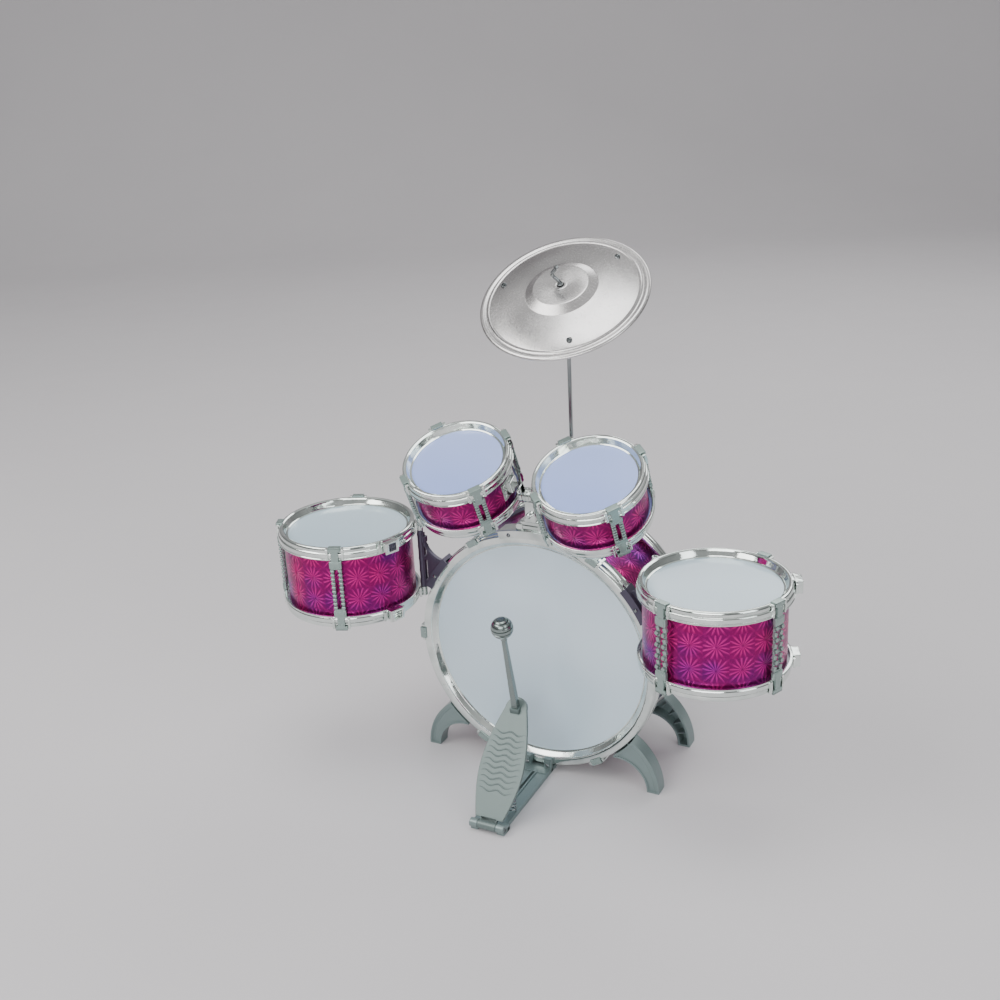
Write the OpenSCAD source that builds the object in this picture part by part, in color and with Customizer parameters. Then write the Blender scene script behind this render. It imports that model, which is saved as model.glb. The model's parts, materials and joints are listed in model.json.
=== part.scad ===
// Child's jazz drum kit: bass drum with pedal, two side toms, two upper toms and a cymbal.
// Millimetres, +Z up. The origin is on the floor at the middle of the kit, and -Y is the player's side.

/* [Bass drum] */
// Outer diameter of the bass drum's hoops
bass_hoop_d = 320; // [266:2:384]
// Width of the bass hoop's face from its edge to the skin
bass_lip_w = 19; // [15.5:0.5:24]
// Length of the bass drum over both hoops
bass_depth = 136; // [110:1:170]
// Height of the hoops above the floor
bass_floor_gap = 6; // [5:0.5:12]
// Axial height of a bass hoop's side band
bass_band = 20; // [16:1:25]

/* [Side toms] */
// Outer diameter of the side toms' hoops
side_hoop_d = 174; // [144:1:210]
// Width of a side tom's hoop from its edge to the skin
side_lip_w = 12.5; // [10:0.5:16]
// Height of a side tom over both hoops
side_h = 106; // [88:1:128]
// How far the side toms' rims are below the top of the bass drum
side_drop = 4; // [0:1:20]
// How far the side toms' centres stand in front of the bass drum's front face
side_forward = 31; // [20:1:40]

/* [Upper toms] */
// Outer diameter of the upper toms' hoops
upper_hoop_d = 135; // [112:1:162]
// Width of an upper tom's hoop from its edge to the skin
upper_lip_w = 11.5; // [9:0.5:15]
// Height of an upper tom over both hoops
upper_h = 71; // [59:1:86]
// Tilt of the upper toms towards the player
upper_tilt = 25; // [20:1:30]
// Gap between the two upper toms' hoops
upper_gap = 35.6; // [29.6:0.2:44]
// Height of the tilt pin above the bass drum's hoops
tilt_pin_rise = 48; // [46:1:58]

/* [Cymbal] */
// Diameter of the cymbal
cymbal_d = 211; // [175:1:254]
// Tilt of the cymbal towards the player
cymbal_tilt = 31; // [10:1:38]
// Height of the cymbal's centre above the top of the bass drum
cymbal_rise = 262; // [218:1:316]
// Thickness of the cymbal's sheet
cymbal_t = 1.2; // [1:0.1:1.5]
// Diameter of the steel rod that carries the cymbal
rod_d = 5; // [4:0.5:6]

/* [Pedal] */
// Length of the footboard from the heel pin to the toe
board_len = 157; // [130:1:190]
// Greatest width of the footboard
board_w = 58; // [48:1:70]
// Thickness of the footboard
board_t = 4.5; // [3.5:0.5:5.5]
// Angle of the footboard above the floor at rest
board_angle = 50.5; // [46:0.5:53]
// Distance of the beater's middle in front of the bass drum at rest
beater_gap = 84; // [72:1:100]
// Height of the beater above the drum's axis as a share of the drum's radius
beater_share = 0.474; // [0.1:0.002:0.55]
// Diameter of the beater ball
ball_d = 27; // [22:1:33]

/* [Legs] */
// Height of the leg's outer arc above the floor
leg_outer_r = 82; // [70:1:98]
// Width of a leg along the drum
leg_w = 20; // [16:1:24]
// Wall of the hollow legs
leg_wall = 2.5; // [2:0.25:3]

/* [Fits] */
// Radial clearance of a pin that turns in its bore
run_fit = 0.05; // [0.03:0.01:0.09]
// Gap between parts that move past each other
side_fit = 0.4; // [0.3:0.05:0.5]

/* [Hidden] */
$fn = 96;

// Colours
c_foil = "#b02a85";
c_chrome = "#d4d9d6";
c_film = "#bcc8d2";
c_lilac = "#b4c1de";
c_sage = "#7f8f8c";
c_dark = "#4a4656";
c_steel = "#b4b1b0";
c_black = "#2b2b2e";

// Hoops, heads and shells
head_drop = 9;
film_t = 1;
hoop_wall = 3;
rim_out = 3;
lip_t = 1.2;
shell_wall = 2;
tom_band = 15.5;
tom_rim_w = 3;
bass_rim_w = 8;
tom_shell_gap = 3.5;
bass_shell_gap = 6;
bass_r = bass_hoop_d / 2;
side_r = side_hoop_d / 2;
upper_r = upper_hoop_d / 2;
bass_z = bass_r + bass_floor_gap;
bass_top = bass_z + bass_r;
bass_head_r = bass_r - bass_lip_w;
side_head_r = side_r - side_lip_w;
upper_head_r = upper_r - upper_lip_w;

// Lugs
lug_w = 15;
lug_neck_w = 9;
lug_bar_w = 4.5;
lug_bar_gap = 5;
lug_t = 2.6;
lug_hook = 5.5;
lug_plate_h = 9;
lug_gap = 0.3;
seat = 0.05;

// Side tom brackets
hinge_pin_r = 2;
sleeve_r = 4;
knuckle_r = 4.4;
hinge_dir = 24;
clip_h = 12;
clip_inset = 2;
clip_w = 7.2;
clip_pad_w = 18;
side_overlap = 6.8;
side_top_z = bass_top - side_drop;
side_x = bass_r + side_r - side_overlap;
hinge_arm = side_r + knuckle_r;
hinge_x = side_x - hinge_arm * cos(hinge_dir);
hinge_y = -side_forward + hinge_arm * sin(hinge_dir);
web_t = 6;
web_tip_dir = 39;
web_notch_r = 32;
web_slot_w = 3.6;
bracket_dirs = [25, 42];

// Upper toms and their holder
upper_x = upper_r + upper_gap / 2;
tilt_pin_r = 3;
tilt_pin_y = 8;
tilt_pin_z = bass_top + tilt_pin_rise;
pin_above_foot = 17.4;
pin_to_rim = upper_h - pin_above_foot;
pin_off_axis = 3.7;
upper_y = tilt_pin_y - pin_off_axis * cos(upper_tilt) - pin_to_rim * sin(upper_tilt);
upper_z = tilt_pin_z - pin_off_axis * sin(upper_tilt) + pin_to_rim * cos(upper_tilt);
post_w = 16;
mount_plate_h = 26;
ear_t = 5;
ear_r = 9;
saddle_t = 5;
saddle_lip = 2.5;

// Cymbal
cymbal_r = cymbal_d / 2;
rod_r = rod_d / 2;
rod_y = bass_depth - 6;
cymbal_z = bass_top + cymbal_rise;
bend_below = 16;
bell_h = 20;
bell_base_r = 45;
bell_top_r = 34.5;
bow_edge_r = cymbal_r - 12;
cymbal_hole_r = rod_r + 2;
cymbal_y = rod_y - bend_below * sin(cymbal_tilt);
socket_h = 26;
socket_bore_h = 22;
rivet_r = 2;
rivet_at = 0.78 * cymbal_r;

// Pedal
heel_z = 8.5;
knuckle_outer_r = 5.5;
heel_pin_r = 2;
board_knuckle_w = 24;
barrel_w = 45;
base_t = 6;
bar_w = 17.5;
bar_slot = 3;
heel_board_w = 36;
toe_board_w = 29;
wide_at = 68;
board_start = 8;
ball_r = ball_d / 2;
ball_flat = 12;
heel_forward = board_len - 9;
shaft_at = board_len - 16;
shaft_base_w = 8;
shaft_top_w = 5;
spring_from_heel = 40;
spring_x = 13;
spring_coil_r = 5;
spring_wire_r = 0.8;
spring_turns = 7;

// The kit is centred on the origin front to back
kit_front = -heel_forward - knuckle_outer_r;
kit_back = cymbal_y + cymbal_r * cos(cymbal_tilt);
front_y = -(kit_front + kit_back) / 2;

// A leg's inner arc, foot and root
leg_outer_x = bass_r / 2;
leg_inner_r = leg_outer_r / 2 - 1;
leg_inner_x = leg_outer_x + leg_outer_r - 16 - leg_inner_r;
leg_root_x = leg_inner_x - 4;

// Placing: everything below is drawn with the bass drum's front face at y = 0
module kit() {
    translate([0, front_y, 0]) children();
}

module on_bass() {
    kit() translate([0, 0, bass_z]) rotate([90, 0, 0]) children();
}

module on_side(s) {
    kit() translate([s * side_x, -side_forward, side_top_z]) children();
}

module on_upper(s) {
    kit() translate([s * upper_x, upper_y, upper_z]) rotate([upper_tilt, 0, 0]) children();
}

// A side piece drawn for the right is mirrored for the left
module sided(s) {
    mirror([s < 0 ? 1 : 0, 0, 0]) children();
}

module far_end(h) {
    translate([0, 0, -h]) mirror([0, 0, 1]) children();
}

module y_rod(r, x, z, y0, y1) {
    translate([x, y1, z]) rotate([90, 0, 0]) cylinder(r = r, h = y1 - y0);
}

module x_rod(r, y, z, x0, x1) {
    translate([x0, y, z]) rotate([0, 90, 0]) cylinder(r = r, h = x1 - x0);
}

module box(x0, x1, y0, y1, z0, z1) {
    translate([x0, y0, z0]) cube([x1 - x0, y1 - y0, z1 - z0]);
}

// Drum pieces: the top rim is at z = 0 and the drum hangs below it
function hoop_outline(r, head_r, band, rim_w) = [
    [head_r, -head_drop],
    [head_r, -head_drop + lip_t],
    [r - rim_out - rim_w - 1, -1.4],
    [r - rim_out - rim_w, 0],
    [r - rim_out, 0],
    [r - 1.4, -1.2],
    [r - 1.4, -band * 0.42],
    [r, -band * 0.42 - 1.2],
    [r, -band + 0.8],
    [r - 0.8, -band],
    [r - hoop_wall, -band],
    [r - hoop_wall, -head_drop],
];

module hoop(r, head_r, band, rim_w) {
    rotate_extrude() polygon(hoop_outline(r, head_r, band, rim_w));
}

module head(r) {
    translate([0, 0, -head_drop - film_t]) cylinder(r = r - hoop_wall - 0.3, h = film_t);
}

module shell(r, h, gap) {
    shell_r = r - hoop_wall - gap;
    shell_top = head_drop + film_t;
    translate([0, 0, shell_top - h]) difference() {
        cylinder(r = shell_r, h = h - 2 * shell_top);
        translate([0, 0, -1]) cylinder(r = shell_r - shell_wall, h = h);
    }
}

// One end of a lug: a hook over the rim, a neck down the band and a plate below it
module lug_end(r, band) {
    neck_x = r + seat;
    out_x = r + lug_t;
    plate_z = -band - lug_gap;
    box(r - lug_hook, out_x, -lug_w / 2, lug_w / 2, 0, 2);
    box(neck_x, out_x, -lug_neck_w / 2, lug_neck_w / 2, plate_z, 0);
    box(r - 1.8, out_x, -lug_w / 2, lug_w / 2, plate_z - lug_plate_h, plate_z);
}

module lug(r, h, band) {
    bar_z = band + lug_gap + lug_plate_h;
    lug_end(r, band);
    far_end(h) lug_end(r, band);
    for (side = [-1, 1]) {
        bar_y = side * (lug_bar_gap + lug_bar_w) / 2;
        box(r - 1.8, r + 1.6, bar_y - lug_bar_w / 2, bar_y + lug_bar_w / 2, bar_z - h, -bar_z);
    }
}

module lugs(angles, r, h, band) {
    for (a = angles) rotate(a) lug(r, h, band);
}

// Bass drum
module bass_shell() color(c_foil) on_bass() shell(bass_r, bass_depth, bass_shell_gap);

module bass_hoop() hoop(bass_r, bass_head_r, bass_band, bass_rim_w);

module bass_front_hoop() color(c_chrome) on_bass() bass_hoop();

module bass_rear_hoop() color(c_chrome) on_bass() far_end(bass_depth) bass_hoop();

module bass_front_head() color(c_film) on_bass() head(bass_r);

module bass_rear_head() color(c_film) on_bass() far_end(bass_depth) head(bass_r);

module bass_lugs() color(c_sage) on_bass() lugs([for (i = [0:5]) i * 60], bass_r, bass_depth, bass_band);

// Legs: a hollow curved shell whose root fits the hoop
module leg_outline(inset, y0, y1, z0) {
    difference() {
        y_rod(leg_outer_r - inset, leg_outer_x, 0, y0, y1);
        y_rod(leg_inner_r + inset, leg_inner_x, 0, y0 - 1, y1 + 1);
        y_rod(bass_r + seat + inset, 0, bass_z, y0 - 1, y1 + 1);
        box(-leg_outer_r, leg_root_x + inset, y0 - 1, y1 + 1, -leg_outer_r, bass_r);
        box(-leg_outer_r, bass_r + leg_outer_r, y0 - 1, y1 + 1, -leg_outer_r - 1, z0);
    }
}

// The front legs are closed in front, and the rear legs are closed behind
module leg(s, rear) {
    y0 = rear ? bass_depth - leg_w : 0;
    pocket_y0 = rear ? y0 - 1 : y0 + leg_wall;
    pocket_y1 = rear ? y0 + leg_w - leg_wall : y0 + leg_w + 1;
    color(c_sage) kit() sided(s) difference() {
        leg_outline(0, y0, y0 + leg_w, 0);
        leg_outline(leg_wall, pocket_y0, pocket_y1, leg_wall);
    }
}

module leg_front_left() leg(-1, false);

module leg_front_right() leg(1, false);

module leg_rear_left() leg(-1, true);

module leg_rear_right() leg(1, true);

// Saddle over a hoop's band, with a lip over the drum's end face; angles run from +X towards +Z
module saddle(a0, a1, y0, y1, lip_y0, lip_y1) {
    mid = (a0 + a1) / 2;
    half = (a1 - a0) / 2;
    reach = bass_r + 20;
    low = min(y0, lip_y0);
    high = max(y1, lip_y1);
    difference() {
        y_rod(bass_r + saddle_t, 0, bass_z, low, high);
        y_rod(bass_r + seat, 0, bass_z, lip_y0 < y0 ? lip_y1 : low - 1, lip_y0 < y0 ? high + 1 : lip_y0);
        y_rod(bass_r - 5, 0, bass_z, low - 1, high + 1);
        for (k = [-1, 1]) translate([0, 0, bass_z]) rotate([0, -mid - k * half, 0])
            box(-reach, reach, low - 1, high + 1, k > 0 ? 0 : -reach, k > 0 ? reach : 0);
        box(-reach, reach, low - 1, high + 1, bass_z - reach, bass_z);
    }
}

// Tom holder on top of the front hoop
module tom_holder_base() color(c_chrome) kit() {
    block_z = bass_top + saddle_t - 1;
    saddle(75, 105, 0, bass_band + 2, -saddle_lip, -seat);
    difference() {
        box(-20, 20, 2, 19, bass_top - 1, block_z + 7);
        y_rod(bass_r + seat, 0, bass_z, 0, 22);
    }
}

module tom_holder_post() color(c_chrome) kit() {
    foot_z = bass_top + saddle_t + 6;
    difference() {
        union() {
            box(-post_w / 2, post_w / 2, tilt_pin_y - 6, tilt_pin_y + 6, foot_z, tilt_pin_z);
            x_rod(ear_r, tilt_pin_y, tilt_pin_z, -post_w / 2, post_w / 2);
            box(-post_w / 2 - 5, post_w / 2 + 5, tilt_pin_y - 6, tilt_pin_y + 9, foot_z, foot_z + 5);
        }
        x_rod(tilt_pin_r, tilt_pin_y, tilt_pin_z, -post_w, post_w);
    }
}

module tilt_pin() color(c_steel) kit() {
    ear_out = post_w / 2 + side_fit + ear_t + side_fit;
    x_rod(tilt_pin_r, tilt_pin_y, tilt_pin_z, -ear_out - 2, ear_out + 2);
    for (s = [-1, 1]) sided(s) x_rod(tilt_pin_r + 2, tilt_pin_y, tilt_pin_z, ear_out, ear_out + 2);
}

// Upper toms: drawn in the tom's own frame, with the mount towards the kit's middle
module upper_mount(s) {
    shell_r = upper_r - hoop_wall - tom_shell_gap;
    ear_x = upper_x - post_w / 2 - side_fit;
    arm_z = tilt_pin_r + 3 - pin_to_rim;
    arm_half = 5;
    arm_h = 11;
    plate_half_w = 16;
    plate_z = tom_band + 7.5 - upper_h;
    color(c_chrome) on_upper(s) sided(-s) difference() {
        union() {
            intersection() {
                difference() {
                    cylinder(r = shell_r + 3, h = 200, center = true);
                    cylinder(r = shell_r + seat, h = 202, center = true);
                }
                box(0, shell_r + 4, -plate_half_w, plate_half_w, plate_z, plate_z + mount_plate_h);
            }
            box(shell_r + 2, ear_x, pin_off_axis - arm_half, pin_off_axis + arm_half, arm_z, arm_z + arm_h);
            box(ear_x - ear_t, ear_x, pin_off_axis - arm_half, pin_off_axis + arm_half, -pin_to_rim, arm_z + arm_h);
            x_rod(ear_r, pin_off_axis, -pin_to_rim, ear_x - ear_t, ear_x);
        }
        x_rod(tilt_pin_r + run_fit, pin_off_axis, -pin_to_rim, shell_r, ear_x + 1);
        box(0, upper_r + 1.5, -20, 20, -upper_h, -upper_h + tom_band + side_fit);
    }
}

module upper_shell(s) color(c_foil) on_upper(s) shell(upper_r, upper_h, tom_shell_gap);

module upper_hoop(s, low) {
    color(c_chrome) on_upper(s) translate([0, 0, low ? -upper_h : 0]) mirror([0, 0, low ? 1 : 0])
        hoop(upper_r, upper_head_r, tom_band, tom_rim_w);
}

module upper_head(s, low) {
    color(c_lilac) on_upper(s) translate([0, 0, low ? -upper_h : 0]) mirror([0, 0, low ? 1 : 0])
        head(upper_r);
}

module upper_lugs(s) color(c_sage) on_upper(s) lugs([45, 135, 225, 315], upper_r, upper_h, tom_band);

module upper_left_mount() upper_mount(-1);

module upper_left_shell() upper_shell(-1);

module upper_left_top_hoop() upper_hoop(-1, false);

module upper_left_bottom_hoop() upper_hoop(-1, true);

module upper_left_top_head() upper_head(-1, false);

module upper_left_bottom_head() upper_head(-1, true);

module upper_left_lugs() upper_lugs(-1);

module upper_right_mount() upper_mount(1);

module upper_right_shell() upper_shell(1);

module upper_right_top_hoop() upper_hoop(1, false);

module upper_right_bottom_hoop() upper_hoop(1, true);

module upper_right_top_head() upper_head(1, false);

module upper_right_bottom_head() upper_head(1, true);

module upper_right_lugs() upper_lugs(1);

// Side tom brackets, drawn for the right side
module side_bracket(s) {
    low_z = side_top_z - side_h + clip_inset + clip_h + side_fit;
    high_z = side_top_z - clip_inset - clip_h - side_fit;
    web_y0 = hinge_y - web_t / 2;
    web_y1 = hinge_y + web_t / 2;
    tip_x = bass_r * cos(web_tip_dir);
    tip_z = bass_z + bass_r * sin(web_tip_dir);
    slot_x = hinge_x - sleeve_r - 1;
    web_h = high_z - low_z;
    color(c_dark) kit() sided(s) difference() {
        union() {
            translate([hinge_x, hinge_y, low_z]) cylinder(r = sleeve_r, h = web_h);
            difference() {
                box(tip_x, hinge_x, web_y0, web_y1, low_z + 3, high_z - 3);
                y_rod(web_notch_r, tip_x - 5, tip_z + web_notch_r + 3, web_y0 - 1, web_y1 + 1);
            }
            saddle(bracket_dirs[0], bracket_dirs[1], 1, bass_band - 3, -saddle_lip, -seat);
        }
        y_rod(bass_r + seat, 0, bass_z, 0, bass_band);
        translate([hinge_x, hinge_y, 0]) cylinder(r = hinge_pin_r, h = side_top_z);
        box(slot_x - web_slot_w, slot_x, web_y0 - 1, web_y1 + 1, low_z + 0.16 * web_h, low_z + 0.54 * web_h);
        box(slot_x - web_slot_w, slot_x, web_y0 - 1, web_y1 + 1, low_z + 0.61 * web_h, low_z + 0.75 * web_h);
    }
}

module side_pin(s) {
    color(c_steel) kit() sided(s) translate([hinge_x, hinge_y, side_top_z - side_h + clip_inset - 1]) {
        cylinder(r = hinge_pin_r, h = side_h - 2 * clip_inset + 2);
    }
}

// The clips turn on the bracket's pin and are moulded to the tom's two hoops
module side_clip(z) {
    translate([0, 0, z]) rotate(180 - hinge_dir) difference() {
        union() {
            translate([hinge_arm, 0, 0]) cylinder(r = knuckle_r - 0.1, h = clip_h);
            box(side_r - 0.5, hinge_arm, -clip_w / 2, clip_w / 2, 0, clip_h);
            box(side_r - 1, side_r + 2, -clip_pad_w / 2, clip_pad_w / 2, 0, clip_h);
        }
        translate([hinge_arm, 0, -1]) cylinder(r = hinge_pin_r + run_fit, h = clip_h + 2);
        translate([0, 0, -1]) cylinder(r = side_r + seat, h = clip_h + 2);
    }
}

module side_clips(s) {
    color(c_chrome) on_side(s) sided(s) {
        side_clip(-clip_inset - clip_h);
        side_clip(-side_h + clip_inset);
    }
}

// Each side tom's hoops carry one square accessory box, on the player's right
module side_hoop(s, low) {
    box_at = s * 22.5;
    color(c_chrome) on_side(s) translate([0, 0, low ? -side_h : 0]) mirror([0, 0, low ? 1 : 0]) difference() {
        union() {
            hoop(side_r, side_head_r, tom_band, tom_rim_w);
            rotate(box_at) difference() {
                box(side_r - 2, side_r + 8, -10, 10, -tom_band, -0.5);
                translate([0, 0, -tom_band - 1]) cylinder(r = side_r - 1.5, h = tom_band + 2);
            }
        }
        rotate(box_at) box(side_r + 5, side_r + 9, -2.5, 6, -9, 0.5);
    }
}

module side_shell(s) color(c_foil) on_side(s) shell(side_r, side_h, tom_shell_gap);

module side_head(s, low) {
    color(c_film) on_side(s) translate([0, 0, low ? -side_h : 0]) mirror([0, 0, low ? 1 : 0]) head(side_r);
}

module side_lugs(s) {
    first = s < 0 ? -67.5 : -112.5;
    skip = s < 0 ? 1 : 3;
    angles = [for (i = [0:3]) if (i != skip) first + 90 * i];
    color(c_sage) on_side(s) lugs(angles, side_r, side_h, tom_band);
}

module side_left_bracket() side_bracket(-1);

module side_left_pin() side_pin(-1);

module side_left_clips() side_clips(-1);

module side_left_shell() side_shell(-1);

module side_left_top_hoop() side_hoop(-1, false);

module side_left_bottom_hoop() side_hoop(-1, true);

module side_left_top_head() side_head(-1, false);

module side_left_bottom_head() side_head(-1, true);

module side_left_lugs() side_lugs(-1);

module side_right_bracket() side_bracket(1);

module side_right_pin() side_pin(1);

module side_right_clips() side_clips(1);

module side_right_shell() side_shell(1);

module side_right_top_hoop() side_hoop(1, false);

module side_right_bottom_hoop() side_hoop(1, true);

module side_right_top_head() side_head(1, false);

module side_right_bottom_head() side_head(1, true);

module side_right_lugs() side_lugs(1);

// Cymbal and its stand
module cymbal_socket() color(c_chrome) kit() {
    difference() {
        union() {
            saddle(80, 100, bass_depth - bass_band, bass_depth, bass_depth + seat, bass_depth + saddle_lip);
            translate([0, rod_y, bass_top + 1]) cylinder(r = 8, h = socket_h);
            translate([0, rod_y, bass_top + 1]) cylinder(r = 12, h = 7);
        }
        y_rod(bass_r + seat, 0, bass_z, bass_depth - bass_band - 10, bass_depth);
        translate([0, rod_y, bass_top + 1 + socket_h - socket_bore_h]) cylinder(r = rod_r + run_fit, h = 40);
    }
}

// The rod stands upright and bends so that its top end is square to the cymbal
module cymbal_rod() color(c_steel) kit() {
    foot_z = bass_top + 1 + socket_h - socket_bore_h + seat;
    bend_z = cymbal_z - bend_below * cos(cymbal_tilt);
    translate([0, rod_y, foot_z]) cylinder(r = rod_r, h = bend_z - foot_z);
    translate([0, rod_y, bend_z]) {
        sphere(r = rod_r);
        rotate([cymbal_tilt, 0, 0]) cylinder(r = rod_r, h = bend_below + bell_h + 3);
    }
}

module on_cymbal() {
    kit() translate([0, cymbal_y, cymbal_z]) rotate([cymbal_tilt, 0, 0]) children();
}

// The S-shaped end that keeps the cymbal on the rod
hook_steps = 24;
hook_h = 25;
hook_swing = 7;
hook_wire_r = 2;
hook_sides = 10;
function hook_x(t) = -hook_swing * pow(sin(180 * t), 2) + 2 * t * t;
function hook_dx(t) = t == 0 ? 0 : (hook_x(t + 0.01) - hook_x(t - 0.01)) / 0.02;
function hook_lean(t) = atan(hook_dx(t) / hook_h);
function hook_ring(t) = [
    for (k = [0:hook_sides - 1])
        let (a = 360 * k / hook_sides, u = hook_wire_r * cos(a), v = hook_wire_r * sin(a), b = hook_lean(t))
            [hook_x(t) + u * cos(b), v, hook_h * t - u * sin(b)]
];

module tube(rings, sides) {
    last = len(rings) - 1;
    pts = [for (ring = rings) for (p = ring) p];
    walls = [
        for (i = [0:last - 1]) for (k = [0:sides - 1])
            let (n = (k + 1) % sides)
                [i * sides + k, i * sides + n, (i + 1) * sides + n, (i + 1) * sides + k]
    ];
    caps = [[for (k = [sides - 1:-1:0]) k], [for (k = [0:sides - 1]) last * sides + k]];
    polyhedron(points = pts, faces = [for (f = concat(walls, caps)) [for (i = [len(f) - 1:-1:0]) f[i]]]);
}

module rod_hook() color(c_steel) on_cymbal() translate([0, 0, bell_h + 3]) {
    tube([for (i = [0:hook_steps]) hook_ring(i / hook_steps)], hook_sides);
}

module cymbal_washer() color(c_black) on_cymbal() translate([0, 0, bell_h - cymbal_t - side_fit - 4]) {
    difference() {
        cylinder(r = 7, h = 4);
        translate([0, 0, -1]) cylinder(r = rod_r, h = 6);
    }
}

function cymbal_top() = [
    [cymbal_hole_r, bell_h],
    [bell_top_r, bell_h],
    [bell_base_r, 13],
    [62, 10.2],
    [78, 6.6],
    [bow_edge_r, 2.6],
    [cymbal_r - 9, 1.2],
    [cymbal_r - 6, 2],
    [cymbal_r - 3, 2],
    [cymbal_r - 0.8, 1],
    [cymbal_r, -1],
];

module cymbal() color(c_steel) on_cymbal() {
    top = cymbal_top();
    low = [for (i = [len(top) - 1:-1:0]) [top[i][0] - (i > 8 ? 1 : 0) , top[i][1] - cymbal_t]];
    rotate_extrude() polygon(concat(top, low));
}

module cymbal_rivets() color(c_steel) on_cymbal() for (a = [55, 175, 295]) rotate(a) {
    translate([rivet_at, 0, 7.2]) cylinder(r = rivet_r, h = 1.4);
}

// Pedal
module pedal_base() color(c_sage) kit() {
    heel_y = -heel_forward;
    cross_y = heel_y + knuckle_outer_r + 1.5;
    cheek_x = board_knuckle_w / 2 + side_fit;
    jaw_top = bass_floor_gap + 14;
    difference() {
        union() {
            for (s = [-1, 1]) sided(s) {
                box(bar_slot / 2, bar_slot / 2 + bar_w, cross_y, bass_band + 4, 0, base_t);
                box(cheek_x, barrel_w / 2, heel_y, cross_y + 6, 0, heel_z);
                x_rod(knuckle_outer_r, heel_y, heel_z, cheek_x, barrel_w / 2);
                box(9, 19, -7, -seat, 0, jaw_top);
                box(9, 19, bass_band + seat, bass_band + 4, 0, bass_floor_gap + 6);
            }
            box(-barrel_w / 2, barrel_w / 2, cross_y, cross_y + 8, 0, base_t);
            box(-19, 19, -18, bass_band + 4, 0, base_t);
        }
        y_rod(bass_r + seat, 0, bass_z, 0, bass_band);
        x_rod(heel_pin_r, heel_y, heel_z, -barrel_w, barrel_w);
    }
}

module heel_pin() color(c_steel) kit() x_rod(heel_pin_r, -heel_forward, heel_z, -barrel_w / 2 - 1, barrel_w / 2 + 1);

module on_pedal() {
    kit() translate([0, -heel_forward, heel_z]) children();
}

module on_board() {
    on_pedal() rotate([board_angle, 0, 0]) children();
}

toe_r = toe_board_w / 2;
toe_at = board_len - toe_r;
function board_half(u) = u < wide_at
    ? (heel_board_w + (board_w - heel_board_w) * sin(90 * (u - board_start) / (wide_at - board_start))) / 2
    : (toe_board_w + (board_w - toe_board_w) * (1 - pow((u - wide_at) / (toe_at - wide_at), 1.7))) / 2;
board_steps = 20;
board_us = [for (i = [0:board_steps]) board_start + (toe_at - board_start) * i / board_steps];

// The shaft's direction, in the frame of the heel pin
shaft_foot = [shaft_at * cos(board_angle), shaft_at * sin(board_angle)];
ball_at = [heel_forward - beater_gap, bass_z + beater_share * bass_r - heel_z];
shaft_vec = ball_at - shaft_foot;
shaft_len = norm(shaft_vec);
shaft_lean = atan2(shaft_vec[1], shaft_vec[0]) - 90;

module on_shaft() {
    on_pedal() translate([0, shaft_foot[0], shaft_foot[1]]) rotate([shaft_lean, 0, 0]) children();
}

neck = board_knuckle_w / 2 - 1;
function toe_arc() = [for (a = [15:15:165]) [toe_r * cos(a), toe_at + toe_r * sin(a)]];

module footboard() color(c_sage) difference() {
    union() {
        on_board() translate([0, 0, -board_t / 2]) linear_extrude(board_t) polygon(concat(
            [[neck, heel_pin_r + 1], [neck, board_start]],
            [for (u = board_us) [board_half(u), u]],
            toe_arc(),
            [for (i = [board_steps:-1:0]) [-board_half(board_us[i]), board_us[i]]],
            [[-neck, board_start], [-neck, heel_pin_r + 1]]
        ));
        on_pedal() x_rod(knuckle_outer_r, 0, 0, -board_knuckle_w / 2, board_knuckle_w / 2);
    }
    on_pedal() x_rod(heel_pin_r + run_fit, 0, 0, -board_w, board_w);
    on_shaft() box(-shaft_base_w / 2 - seat, shaft_base_w / 2 + seat, -shaft_base_w / 2 - seat,
        shaft_base_w / 2 + seat, -board_t * 3, board_t * 3);
}

module beater_shaft() color(c_sage) on_shaft() {
    plug = board_t + 4;
    box(-shaft_base_w / 2, shaft_base_w / 2, -shaft_base_w / 2, shaft_base_w / 2, -plug / 2, plug);
    translate([0, 0, plug]) linear_extrude(shaft_len - ball_flat - plug, scale = shaft_top_w / shaft_base_w)
        square(shaft_base_w, center = true);
}

module beater_ball() color(c_sage) on_shaft() translate([0, 0, shaft_len]) difference() {
    sphere(r = ball_r);
    box(-ball_r, ball_r, -ball_r, ball_r, -ball_r - 1, -ball_flat);
}

// Coil spring between the base and the footboard's underside
spring_y = -heel_forward + spring_from_heel;
spring_top = heel_z + (spring_from_heel - spring_coil_r - 1) * tan(board_angle) - board_t / 2 / cos(board_angle) - 1;
spring_h = spring_top - base_t - 2 * spring_wire_r;
spring_steps = 14 * spring_turns;
spring_sides = 6;
function spring_ring(i) = [
    let (a = 360 * spring_turns * i / spring_steps, z = spring_h * i / spring_steps)
        for (k = [0:spring_sides - 1])
            let (b = 360 * k / spring_sides, r = spring_coil_r + spring_wire_r * cos(b))
                [r * cos(a), r * sin(a), z + spring_wire_r * sin(b)]
];

module pedal_spring() color(c_steel) kit() translate([spring_x, spring_y, base_t + spring_wire_r]) {
    tube([for (i = [0:spring_steps]) spring_ring(i)], spring_sides);
}

// Screw heads that draw the clamps tight
module clamp_screws() color(c_steel) kit() {
    ring_r = bass_r - 1;
    for (a = [80, 100, 32, 148]) {
        y_rod(2.5, ring_r * cos(a), bass_z + ring_r * sin(a), -saddle_lip - 2, -saddle_lip);
    }
    for (a = [85, 95]) {
        y_rod(2.5, ring_r * cos(a), bass_z + ring_r * sin(a), bass_depth + saddle_lip, bass_depth + saddle_lip + 2);
    }
    for (x = [-14, 14]) y_rod(2.5, x, bass_floor_gap + 5, -9, -7);
}

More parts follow.
